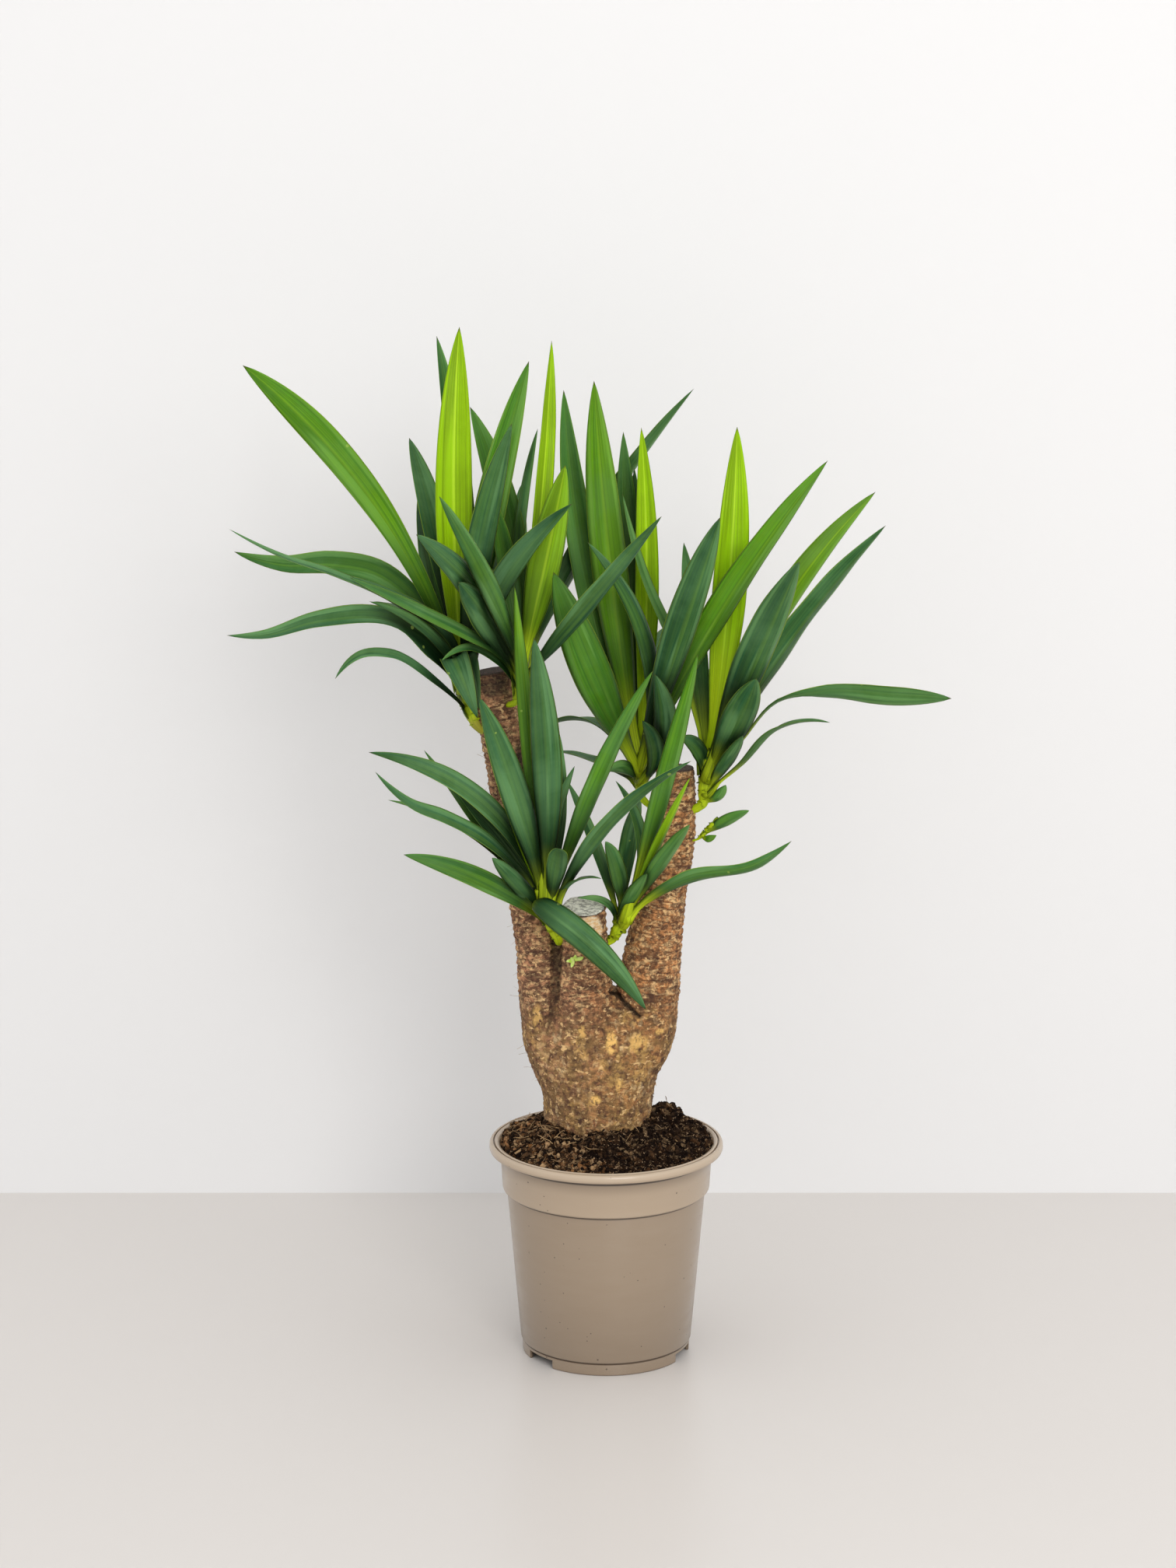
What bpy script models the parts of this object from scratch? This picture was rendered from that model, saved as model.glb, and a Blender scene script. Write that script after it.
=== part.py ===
"""A potted spineless yucca: a branched woody trunk with six leafy heads in a nursery pot.

Metres, +Z up. The origin is the middle of the pot's underside, on the pot's axis.
The front of the plant faces -Y and +X is to the right.
"""

import math
import random

import bmesh
import bpy
import numpy as np
from mathutils import Vector

CM = 0.01
GAP = 0.0003  # clearance between pieces that touch
SEED = 5

# Pot
POT_SIDES = 48
POT_HEIGHT = 0.1965
RIM_RADIUS = 0.105
MOUTH_RADIUS = 0.0965
COLLAR_TOP_RADIUS = 0.0955
COLLAR_FOOT_RADIUS = 0.0932
STEP_HEIGHT = 0.153
STEP_SLOPE = 0.003
BODY_TOP_RADIUS = 0.0893
BODY_FOOT_RADIUS = 0.0772
FOOT_RADIUS = 0.0756
FOOT_HEIGHT = 0.011
FOOT_WIDTH = 0.0032
WALL = 0.0022
NOTCHES = (-142.0, -22.0, 98.0)  # degrees round the foot, the middle of each notch
NOTCH_WIDTH = 0.033
NOTCH_DEPTH = 0.020
NOTCH_HEIGHT = 0.0085
DRAIN_COUNT = 6
DRAIN_RADIUS = 0.005
DRAIN_CIRCLE = 0.050
BOSS_RADIUS = 0.014

# Soil
SOIL_EDGE_HEIGHT = 0.1915
SOIL_MOUND = 0.027
CLUMP_PLACE = Vector((0.060, 0.018))
CLUMP_HEIGHT = 0.017
CLUMP_SPREAD = 0.017

# Trunk: (x, y, z, half width across, half depth) of the swollen base
BASE_SIDES = 24
BASE_SECTIONS = (
    (-0.006, 0.008, 0.135, 0.040, 0.038),
    (-0.007, 0.008, 0.170, 0.044, 0.042),
    (-0.008, 0.008, 0.211, 0.0473, 0.044),
    (-0.007, 0.008, 0.240, 0.0505, 0.046),
    (-0.009, 0.008, 0.269, 0.0595, 0.046),
    (-0.007, 0.008, 0.291, 0.0665, 0.0445),
    (-0.0065, 0.008, 0.311, 0.0660, 0.0395),
    (-0.006, 0.008, 0.324, 0.0560, 0.0310),
    (-0.006, 0.008, 0.332, 0.0330, 0.0190),
)
BARK_RING = 0.011
BARK_RELIEF = 0.022

# Branches: (x, y, z, radius) along each, from inside the base to the sawn top
BRANCH_SIDES = 14
LEFT_BRANCH = (
    (-0.0250, 0.006, 0.255, 0.0300),
    (-0.0430, 0.004, 0.290, 0.0310),
    (-0.0520, 0.005, 0.325, 0.0258),
    (-0.0580, 0.007, 0.370, 0.0222),
    (-0.0675, 0.009, 0.427, 0.0206),
    (-0.0800, 0.011, 0.498, 0.0196),
    (-0.0910, 0.012, 0.560, 0.0190),
    (-0.1010, 0.012, 0.622, 0.0172),
)
CENTRE_STUB = (
    (-0.0130, 0.002, 0.250, 0.0340),
    (-0.0175, -0.004, 0.300, 0.0310),
    (-0.0205, -0.006, 0.340, 0.0265),
    (-0.0205, -0.009, 0.368, 0.0228),
    (-0.0198, -0.010, 0.4155, 0.0184),
)
RIGHT_BRANCH = (
    (0.0090, 0.006, 0.255, 0.0300),
    (0.0275, 0.005, 0.290, 0.0320),
    (0.0365, 0.006, 0.330, 0.0285),
    (0.0420, 0.008, 0.372, 0.0252),
    (0.0500, 0.010, 0.420, 0.0208),
    (0.0570, 0.010, 0.456, 0.0195),
    (0.0605, 0.010, 0.500, 0.0185),
    (0.0610, 0.010, 0.536, 0.0165),
)
STUB_CUT_TILT = math.radians(-14)

# Leaves
STEM_SIDES = 8
LEAF_RINGS = (0.0, 0.12, 0.27, 0.42, 0.57, 0.72, 0.85, 0.94)
LEAF_BASE_SHARE = 0.36
LEAF_WIDEST = 0.5
LEAF_RIB = 0.0022
LEAF_FOLD = 0.16  # depth of the blade's channel as a share of its width

# The leaves were measured by eye from a point in front of the plant, in centimetres: where that
# eye was, and how far below the level it looked.
EYE = Vector((-1.6, -300.0, 116.9))
LOOK_DOWN = math.radians(12.16)

# Each head: the point its leaves are measured from, and where its stem starts in the trunk,
# leaves the bark and ends, in centimetres from the pot's origin. Each leaf: how far up the stem
# it grows, its width, how far its blade is turned from facing the front at its foot and at its
# tip, in degrees, and the points it passes, across, back and up, the last being its tip.
# Behind, for the leaves that grow straight away from the eye: azimuth, lean, length and width.
HEADS = {
    "head_a": {
        "root": (-11.4, 0.0, 57.4),
        "stem": ((-10.2, 0.9, 56.4), (-11.5, 0.2, 57.6), (-13.6, 0.5, 63.4)),
        "radius": 0.85,
        "leaves": (
            (1.0, 3.0, 35, 25, ((-9.3, -3.0, 21.2), (-20.5, -7.0, 33.9))),
            (0.9, 2.8, 30, 20, ((-3.4, 5.0, 15.9), (-5.9, 12.0, 23.3))),
            (1.0, 3.5, 0, 5, ((-2.0, -0.3, 21.8), (-1.5, 2.0, 35.4))),
            (1.0, 2.4, 10, 20, ((-1.5, 4.0, 21.0), (-3.5, 8.0, 33.3))),
            (0.8, 2.4, 30, 35, ((-4.2, 8.0, 14.0), (-4.6, 14.0, 20.2))),
            (0.6, 2.0, 70, 85, ((-6.3, -1.5, 10.9), (-12.4, -3.0, 14.3), (-17.2, -4.0, 16.2), (-21.8, -5.0, 18.8))),
            (0.7, 2.6, 40, 55, ((-5.4, 1.5, 10.8), (-10.3, 2.5, 14.1), (-15.1, 4.0, 13.6), (-21.2, 5.0, 14.4))),
            (0.4, 2.6, 20, 85, ((-3.5, -2.0, 7.4), (-7.6, -4.0, 10.5), (-14.0, -6.0, 10.8), (-18.8, -7.2, 9.7), (-21.9, -8.0, 9.9))),
            (0.2, 1.8, 60, 75, ((-3.5, -3.0, 4.6), (-7.6, -6.0, 7.8), (-10.3, -8.0, 8.1), (-12.4, -10.0, 6.4))),
            (0.6, 2.4, 40, 50, ((-4.9, 6.0, 8.2), (-9.1, 11.0, 8.8))),
            (0.7, 1.9, 10, 10, ((-1.3, -3.5, 4.6), (0.3, -5.0, 1.1))),
            (1.0, 3.1, 10, 15, ((1.6, 2.0, 21.2), (4.6, 4.0, 31.9))),
            (1.0, 2.7, 0, 10, ((0.5, -4.0, 17.9), (3.1, -8.0, 28.9))),
            (0.9, 2.7, 10, 20, ((2.9, -4.0, 14.8), (8.4, -7.0, 21.5))),
        ),
        "behind": ((84, 58, 24, 2.6), (106, 72, 22, 2.4)),
    },
    "head_b": {
        "root": (-7.6, -1.5, 59.7),
        "stem": ((-8.9, 0.3, 59.2), (-7.8, -1.4, 60.1), (-7.1, -2.0, 65.2)),
        "radius": 0.8,
        "leaves": (
            (0.9, 2.1, 35, 45, ((-3.2, -8.0, 13.5), (-7.0, -11.0, 20.9))),
            (0.7, 2.6, 30, 35, ((-4.6, -8.0, 12.8), (-9.0, -13.0, 17.9))),
            (0.6, 2.8, 20, 30, ((-2.9, -5.0, 8.7), (-5.3, -10.0, 13.0))),
            (1.0, 1.9, 20, 30, ((2.0, 3.0, 17.8), (2.8, 6.0, 31.1))),
            (0.9, 1.5, 40, 50, ((0.2, 6.0, 16.4), (1.6, 10.0, 22.4))),
            (1.0, 3.2, 0, 10, ((2.2, -0.5, 12.6), (4.0, -2.0, 21.7))),
            (1.0, 3.0, 10, 15, ((-1.4, 6.0, 16.4), (-4.3, 11.0, 24.1))),
            (0.9, 2.0, 10, 20, ((-1.2, 1.0, 12.6), (-2.4, 1.0, 18.4))),
            (0.8, 2.2, 10, 20, ((-0.3, 8.0, 11.1), (0.2, 14.0, 16.6))),
            (0.7, 2.6, 20, 60, ((3.2, 5.5, 8.6), (9.0, 11.0, 17.6), (15.2, 13.0, 25.3))),
            (0.5, 2.1, 15, 35, ((6.9, -7.0, 11.5), (12.4, -10.0, 18.9))),
            (0.2, 1.5, 60, 45, ((-1.9, -2.5, 5.1), (-4.6, -4.5, 7.2), (-8.0, -6.0, 9.3), (-14.8, -7.5, 12.9))),
            (0.1, 1.1, 60, 75, ((-1.9, -2.0, 4.2), (-4.6, -3.5, 5.8), (-6.8, -5.0, 4.9))),
        ),
        "behind": ((100, 58, 24, 2.6), (82, 74, 22, 2.4)),
    },
    "head_c": {
        "root": (-5.1, -2.0, 39.2),
        "stem": ((-4.6, 0.2, 38.0), (-5.1, -2.0, 39.2), (-5.7, -3.3, 45.6)),
        "radius": 0.8,
        "leaves": (
            (0.7, 2.0, 25, 35, ((-7.9, -2.0, 13.9), (-15.9, -3.0, 17.0))),
            (0.6, 1.5, 45, 55, ((-5.8, -2.0, 9.1), (-9.3, -3.5, 11.3), (-12.2, -5.0, 12.8), (-15.3, -6.0, 15.9))),
            (0.5, 1.3, 40, 60, ((-7.0, 1.5, 8.8), (-14.2, 3.0, 11.4))),
            (0.3, 2.0, 20, 20, ((-7.2, -3.5, 6.2), (-12.8, -5.0, 8.2))),
            (0.8, 1.5, 40, 60, ((-7.0, 1.0, 10.7), (-11.0, 4.0, 15.7))),
            (0.6, 1.6, 30, 40, ((-4.6, -0.6, 8.8), (-7.9, -0.2, 12.5))),
            (0.9, 2.8, 0, 10, ((-3.4, -3.5, 14.8), (-6.1, -6.0, 22.6))),
            (1.0, 2.9, 0, 5, ((-0.2, -4.0, 16.8), (-1.3, -7.0, 28.2))),
            (1.0, 1.6, 20, 20, ((-1.9, -3.0, 19.7), (-3.0, -5.0, 32.4))),
            (0.8, 1.9, 10, 20, ((4.8, -3.0, 15.7), (9.2, -5.0, 24.8))),
            (0.5, 2.0, 20, 30, ((5.8, -5.0, 11.5), (12.6, -8.0, 17.3))),
            (0.3, 1.0, 30, 50, ((3.2, -3.0, 5.7), (4.7, -4.0, 5.8))),
            (0.6, 2.2, 10, 15, ((1.6, -4.5, 2.3), (4.6, -6.0, -0.4), (8.6, -6.0, -5.6))),
            (0.7, 0.9, 0, 20, ((-2.8, -1.5, 9.8), (-4.5, -2.0, 14.2))),
            (0.8, 2.0, 0, 0, ((0.7, -4.0, 6.9), (0.9, -9.0, 9.6))),
            (1.0, 1.2, 10, 20, ((1.2, -0.5, 12.6), (2.3, 1.0, 14.9))),
            (1.0, 1.0, 20, 30, ((1.2, 1.0, 13.8), (0.9, 2.5, 17.7))),
            (0.5, 1.8, 20, 30, ((-3.4, -2.5, 5.8), (-5.0, -4.0, 7.7))),
        ),
        "behind": (),
    },
    "head_d": {
        "root": (0.4, -0.8, 38.4),
        "stem": ((-0.9, -0.8, 37.6), (0.5, -0.8, 38.4), (2.8, -2.3, 42.6)),
        "radius": 0.6,
        "leaves": (
            (0.6, 1.3, 20, 30, ((-1.4, 1.5, 8.2), (-3.9, 3.0, 13.7))),
            (0.8, 1.7, 10, 20, ((0.5, -2.0, 7.1), (-0.5, -4.0, 9.7))),
            (0.9, 1.4, 20, 30, ((2.6, 0.0, 9.6), (0.4, 2.0, 13.9))),
            (1.0, 1.1, 20, 30, ((4.9, -4.5, 11.2), (7.0, -6.0, 15.9))),
            (1.0, 1.7, 10, 15, ((5.0, -5.0, 8.9), (7.0, -8.0, 12.1))),
            (0.8, 2.0, 20, 25, ((6.5, -4.0, 6.2), (13.2, -7.2, 8.4), (16.0, -8.0, 10.6))),
            (0.3, 0.8, 30, 50, ((-0.1, -0.5, 3.1), (-3.0, -1.0, 3.9))),
            (1.0, 1.9, 0, 10, ((4.7, -4.0, 14.9), (7.7, -6.0, 27.1))),
            (0.2, 1.6, 10, 10, ((1.9, -2.0, 4.3), (3.2, -4.0, 6.8))),
        ),
        "behind": ((80, 52, 15, 1.8),),
    },
    "head_e": {
        "root": (8.6, 0.0, 50.0),
        "stem": ((7.0, 0.5, 49.5), (8.5, 0.0, 50.6), (9.3, 0.0, 56.3)),
        "radius": 0.85,
        "leaves": (
            (1.0, 3.3, 0, 5, ((2.3, 1.0, 20.8), (2.9, 3.0, 33.8))),
            (0.8, 2.8, 20, 20, ((6.5, 2.0, 17.4), (15.1, 5.0, 27.5))),
            (0.8, 3.4, 0, 5, ((4.2, -5.0, 14.4), (8.4, -12.0, 24.9))),
            (0.7, 3.0, 25, 40, ((7.9, -1.5, 16.3), (16.0, -3.0, 26.2))),
            (0.4, 2.2, 60, 45, ((3.4, -0.5, 6.4), (6.5, -1.0, 10.0), (10.6, -1.5, 10.8), (16.8, -2.5, 10.6), (21.8, -3.0, 10.6))),
            (0.3, 1.6, 60, 70, ((3.1, -2.0, 4.3), (6.5, -4.5, 8.3), (11.1, -8.0, 9.5))),
            (0.4, 1.6, 20, 30, ((-1.0, -1.0, 6.2), (-2.2, -2.0, 6.9))),
            (0.3, 1.6, 20, 30, ((2.4, -3.0, 5.5), (3.4, -5.0, 7.7))),
            (0.0, 1.1, 20, 20, ((1.2, -0.6, 1.3), (1.9, -1.0, 2.4))),
            (0.9, 1.6, 50, 55, ((-2.6, 1.5, 14.2), (-5.3, 1.8, 20.6), (-7.2, 2.0, 28.0))),
            (0.9, 2.2, 10, 20, ((-0.8, 4.0, 13.9), (-1.8, 8.0, 22.3))),
        ),
        "behind": ((66, 60, 25, 2.6), (88, 72, 22, 2.4)),
    },
    "head_f": {
        "root": (2.8, 3.0, 50.4),
        "stem": ((4.8, 1.8, 49.2), (3.1, 2.9, 50.6), (2.7, 3.0, 55.8)),
        "radius": 0.8,
        "leaves": (
            (1.0, 2.8, 10, 10, ((-4.5, 2.0, 19.7), (-6.6, 4.0, 36.2))),
            (1.0, 3.5, 0, 5, ((-2.4, 0.0, 20.1), (-3.9, -1.0, 38.1))),
            (1.0, 2.6, 10, 15, ((-0.8, 2.0, 19.0), (-1.3, 3.0, 32.6))),
            (0.9, 2.4, 10, 20, ((-0.3, 2.8, 17.5), (-0.3, 4.5, 29.0))),
            (1.0, 2.3, 0, 5, ((0.8, 1.0, 19.6), (0.3, 2.0, 33.2))),
            (0.8, 3.6, 0, 5, ((-4.5, -5.0, 13.4), (-7.5, -8.0, 22.2))),
            (0.5, 2.2, 50, 70, ((-4.8, 3.0, 6.5), (-8.3, 5.0, 5.3))),
            (0.3, 1.6, 60, 70, ((-3.8, 4.0, 2.5), (-7.5, 8.0, 2.5))),
            (0.4, 1.4, 20, 30, ((-1.7, -2.0, 3.2), (-2.9, -3.0, 3.0))),
            (0.9, 3.2, 0, 10, ((3.2, -6.0, 14.7), (7.3, -9.5, 27.5))),
            (0.9, 2.9, 15, 20, ((7.9, -5.0, 19.1), (16.9, -4.0, 31.5))),
            (0.7, 1.8, 20, 40, ((1.0, -2.0, 13.5), (-4.5, -5.0, 24.3))),
            (0.8, 2.6, 10, 10, ((1.9, -4.0, 9.7), (2.1, -7.0, 3.8))),
        ),
        "behind": ((80, 60, 22, 2.6), (104, 72, 20, 2.4)),
    },
    "shoot_g": {
        "root": (8.2, 0.0, 47.4),
        "stem": ((7.1, 0.5, 46.9), (8.2, 0.0, 47.4), (8.9, -0.3, 48.2)),
        "radius": 0.35,
        "leaves": (
            (0.6, 1.3, 10, 15, ((2.1, -1.0, 1.6), (4.4, -2.0, 2.9))),
            (0.4, 0.7, 10, 10, ((0.9, -0.8, 0.1), (1.5, -1.2, 0.5))),
        ),
        "behind": (),
    },
}

POT_COLOUR = (0.42, 0.345, 0.27, 1.0)
SOIL_COLOUR = (0.028, 0.018, 0.012, 1.0)
BARK_COLOUR = (0.24, 0.125, 0.055, 1.0)
LEAF_COLOUR = (0.06, 0.20, 0.03, 1.0)


def clear_scene():
    for old in list(bpy.data.objects):
        bpy.data.objects.remove(old, do_unlink=True)


def make_material(name, colour, roughness):
    material = bpy.data.materials.new(name)
    material.use_nodes = True
    surface = material.node_tree.nodes["Principled BSDF"]
    surface.inputs["Base Color"].default_value = colour
    surface.inputs["Roughness"].default_value = roughness
    surface.inputs["Metallic"].default_value = 0.0
    material.diffuse_color = colour
    return material


def object_from_bmesh(name, shape, material=None):
    mesh = bpy.data.meshes.new(name)
    bmesh.ops.recalc_face_normals(shape, faces=shape.faces[:])
    if shape.calc_volume(signed=True) < 0.0:
        bmesh.ops.reverse_faces(shape, faces=shape.faces[:])
    shape.to_mesh(mesh)
    shape.free()
    made = bpy.data.objects.new(name, mesh)
    bpy.context.scene.collection.objects.link(made)
    if material:
        mesh.materials.append(material)
    return made


def bridge(shape, lower, upper):
    """Joins two rings of the same number of points with triangles cut the same way."""
    count = len(lower)
    for i in range(count):
        j = (i + 1) % count
        shape.faces.new((lower[i], lower[j], upper[j]))
        shape.faces.new((lower[i], upper[j], upper[i]))


def turned(name, profile, sides, material):
    """A round body: the profile's (radius, height) points turned about Z, its ends on the axis."""
    shape = bmesh.new()
    rings = []
    for radius, height in profile:
        if radius == 0.0:
            rings.append([shape.verts.new((0.0, 0.0, height))])
            continue
        ring = []
        for i in range(sides):
            angle = 2 * math.pi * i / sides
            ring.append(shape.verts.new((radius * math.cos(angle), radius * math.sin(angle), height)))
        rings.append(ring)
    for lower, upper in zip(rings, rings[1:]):
        if len(lower) == 1:
            for i in range(sides):
                shape.faces.new((lower[0], upper[(i + 1) % sides], upper[i]))
        elif len(upper) == 1:
            for i in range(sides):
                shape.faces.new((lower[i], lower[(i + 1) % sides], upper[0]))
        else:
            for i in range(sides):
                j = (i + 1) % sides
                shape.faces.new((lower[i], lower[j], upper[j], upper[i]))
    return object_from_bmesh(name, shape, material)


def cut(target, cutter, operation="DIFFERENCE"):
    """Applies one exact Boolean to the target and removes the cutter."""
    modifier = target.modifiers.new(operation.title(), "BOOLEAN")
    modifier.operation = operation
    modifier.solver = "EXACT"
    modifier.object = cutter
    apply_modifiers(target)
    bpy.data.objects.remove(cutter, do_unlink=True)


def join_all(target, pieces):
    """Fuses the pieces to the target in one Boolean union and removes them."""
    group = bpy.data.collections.new(target.name + "_pieces")
    bpy.context.scene.collection.children.link(group)
    for piece in pieces:
        bpy.context.scene.collection.objects.unlink(piece)
        group.objects.link(piece)
    modifier = target.modifiers.new("Union", "BOOLEAN")
    modifier.operation = "UNION"
    modifier.solver = "MANIFOLD"
    modifier.operand_type = "COLLECTION"
    modifier.collection = group
    apply_modifiers(target)
    for piece in pieces:
        bpy.data.objects.remove(piece, do_unlink=True)
    bpy.data.collections.remove(group)
    keep_largest(target)


def keep_largest(target):
    """Drops the specks and sealed hollows that a union can leave: the largest island stays."""
    shape = bmesh.new()
    shape.from_mesh(target.data)
    islands = []
    waiting = set(shape.faces)
    while waiting:
        reached = [waiting.pop()]
        for face in reached:
            for edge in face.edges:
                for other in edge.link_faces:
                    if other in waiting:
                        waiting.remove(other)
                        reached.append(other)
        islands.append(reached)
    islands.sort(key=len)
    specks = [face for island in islands[:-1] for face in island]
    bmesh.ops.delete(shape, geom=specks, context="FACES")
    shape.to_mesh(target.data)
    shape.free()


def apply_modifiers(target):
    bpy.context.view_layer.update()
    graph = bpy.context.evaluated_depsgraph_get()
    mesh = bpy.data.meshes.new_from_object(target.evaluated_get(graph))
    old = target.data
    target.modifiers.clear()
    target.data = mesh
    bpy.data.meshes.remove(old)


def curve_point(knots, at, slopes, t):
    """The point at t of the cubic curve through the knots, which lie at the given shares."""
    i = min(int(np.searchsorted(at, t, side="right")) - 1, len(at) - 2)
    span = at[i + 1] - at[i]
    u = (t - at[i]) / span
    return (
        (2 * u**3 - 3 * u**2 + 1) * knots[i]
        + (u**3 - 2 * u**2 + u) * span * slopes[i]
        + (3 * u**2 - 2 * u**3) * knots[i + 1]
        + (u**3 - u**2) * span * slopes[i + 1]
    )


def smooth_path(points, count):
    """Evenly counted points along one smooth curve through the given stations."""
    knots = np.array(points, dtype=float)
    steps = np.linalg.norm(np.diff(knots[:, :3], axis=0), axis=1)
    at = np.concatenate([[0.0], np.cumsum(steps)]) / steps.sum()
    slopes = np.gradient(knots, at, axis=0)
    return np.array([curve_point(knots, at, slopes, t) for t in np.linspace(0.0, 1.0, count)])


def tube(name, stations, sides, material=None, relief=0.0, grow=0.0, top_tilt=0.0):
    """A closed tube through (x, y, z, radius) stations, with its rings square to its path."""
    centres = stations[:, :3]
    along = np.gradient(centres, axis=0)
    shape = bmesh.new()
    rings = []
    for i, (centre, ahead) in enumerate(zip(centres, along)):
        ahead = Vector(ahead).normalized()
        across = Vector((0.0, 1.0, 0.0)).cross(ahead).normalized()
        back = ahead.cross(across)
        if i == len(centres) - 1 and top_tilt:
            level = Vector((0.0, math.sin(top_tilt), math.cos(top_tilt)))
            back = (back - level * back.dot(level)).normalized()
        radius = float(stations[i, 3] + grow) * (1.0 + relief * (1 if i % 2 else -1))
        ring = []
        for k in range(sides):
            angle = 2 * math.pi * (k + 0.5) / sides
            place = Vector(centre) + radius * (across * math.cos(angle) + back * math.sin(angle))
            ring.append(shape.verts.new(place))
        rings.append(ring)
    for lower, upper in zip(rings, rings[1:]):
        bridge(shape, lower, upper)
    shape.faces.new(rings[0])
    shape.faces.new(rings[-1])
    return object_from_bmesh(name, shape, material)


def base_section(section, grow=0.0):
    x, y, z, across, deep = section
    points = []
    for k in range(BASE_SIDES):
        angle = 2 * math.pi * k / BASE_SIDES
        points.append((x + (across + grow) * math.cos(angle), y + (deep + grow) * math.sin(angle), z))
    return points


def swollen_base(name, sections, material=None, grow=0.0):
    """The base of the trunk as a closed body lofted through its oval sections."""
    shape = bmesh.new()
    rings = []
    for section in sections:
        rings.append([shape.verts.new(point) for point in base_section(section, grow)])
    for lower, upper in zip(rings, rings[1:]):
        bridge(shape, lower, upper)
    shape.faces.new(rings[0])
    shape.faces.new(rings[-1])
    return object_from_bmesh(name, shape, material)


def pot_inner_radius(height):
    """The radius of the pot's inner wall, which steps in under the collar."""
    floor = FOOT_HEIGHT + WALL
    if height >= STEP_HEIGHT:
        share = (height - STEP_HEIGHT) / (POT_HEIGHT - STEP_HEIGHT)
        return COLLAR_FOOT_RADIUS - WALL + share * (COLLAR_TOP_RADIUS - COLLAR_FOOT_RADIUS)
    share = (height - floor) / (STEP_HEIGHT - floor)
    return BODY_FOOT_RADIUS - WALL + share * (BODY_TOP_RADIUS - BODY_FOOT_RADIUS)


def build_pot():
    plastic = make_material("pot_plastic", POT_COLOUR, 0.42)
    floor_top = FOOT_HEIGHT + WALL
    under_step = STEP_HEIGHT - STEP_SLOPE
    lip_foot = POT_HEIGHT - 0.0085
    profile = (
        (0.0, FOOT_HEIGHT),
        (FOOT_RADIUS - FOOT_WIDTH, FOOT_HEIGHT),
        (FOOT_RADIUS - FOOT_WIDTH, 0.0),
        (FOOT_RADIUS, 0.0),
        (FOOT_RADIUS + 0.0004, FOOT_HEIGHT - 0.0006),
        (BODY_FOOT_RADIUS, FOOT_HEIGHT + 0.0006),
        (BODY_TOP_RADIUS, STEP_HEIGHT - 0.0012),
        (COLLAR_FOOT_RADIUS - 0.0007, STEP_HEIGHT),
        (COLLAR_FOOT_RADIUS, STEP_HEIGHT + 0.0015),
        (COLLAR_TOP_RADIUS, lip_foot),
        (RIM_RADIUS - 0.0010, lip_foot + 0.0005),
        (RIM_RADIUS, lip_foot + 0.0025),
        (RIM_RADIUS - 0.0006, POT_HEIGHT - 0.0022),
        (RIM_RADIUS - 0.0030, POT_HEIGHT - 0.0003),
        (MOUTH_RADIUS + 0.0020, POT_HEIGHT),
        (MOUTH_RADIUS - 0.0010, POT_HEIGHT - 0.0020),
        (pot_inner_radius(lip_foot), lip_foot),
        (pot_inner_radius(STEP_HEIGHT), STEP_HEIGHT),
        (pot_inner_radius(under_step), under_step),
        (pot_inner_radius(floor_top), floor_top),
        (0.0, floor_top),
    )
    pot = turned("pot", profile, POT_SIDES, plastic)
    boss = turned(
        "boss",
        ((0.0, 0.0), (BOSS_RADIUS, 0.0), (BOSS_RADIUS + 0.001, floor_top - 0.0008), (0.0, floor_top - 0.0008)),
        24,
        plastic,
    )
    cut(pot, boss, "UNION")
    for middle in NOTCHES:
        cut(pot, notch_cutter(math.radians(middle)))
    for k in range(DRAIN_COUNT):
        angle = 2 * math.pi * k / DRAIN_COUNT
        stations = np.array(
            [
                (DRAIN_CIRCLE * math.cos(angle), DRAIN_CIRCLE * math.sin(angle), height, DRAIN_RADIUS)
                for height in (FOOT_HEIGHT - 0.004, floor_top + 0.004)
            ]
        )
        cut(pot, tube("drain", stations, 10))
    return pot


def notch_cutter(angle):
    """A block across the foot ring, which leaves a drainage notch."""
    shape = bmesh.new()
    bmesh.ops.create_cube(shape, size=1.0)
    for vert in shape.verts:
        x = vert.co.x * NOTCH_DEPTH + FOOT_RADIUS
        y = vert.co.y * NOTCH_WIDTH
        z = (vert.co.z + 0.5) * (NOTCH_HEIGHT + 0.002) - 0.002
        vert.co = Vector(
            (x * math.cos(angle) - y * math.sin(angle), x * math.sin(angle) + y * math.cos(angle), z)
        )
    return object_from_bmesh("notch", shape)


def soil_height(x, y, waves):
    """The lumpy mounded top: highest at the trunk, level with the lip at the wall, one clump."""
    far = min(1.0, math.hypot(x, y) / MOUTH_RADIUS)
    height = SOIL_EDGE_HEIGHT + SOIL_MOUND * (1.0 - far**2.2)
    away = math.hypot(x - CLUMP_PLACE.x, y - CLUMP_PLACE.y)
    height += CLUMP_HEIGHT * math.exp(-((away / CLUMP_SPREAD) ** 2))
    for turn, pitch, phase, lift in waves:
        height += (1.0 - far**6) * lift * math.sin(pitch * (x * math.cos(turn) + y * math.sin(turn)) + phase)
    return height


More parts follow.
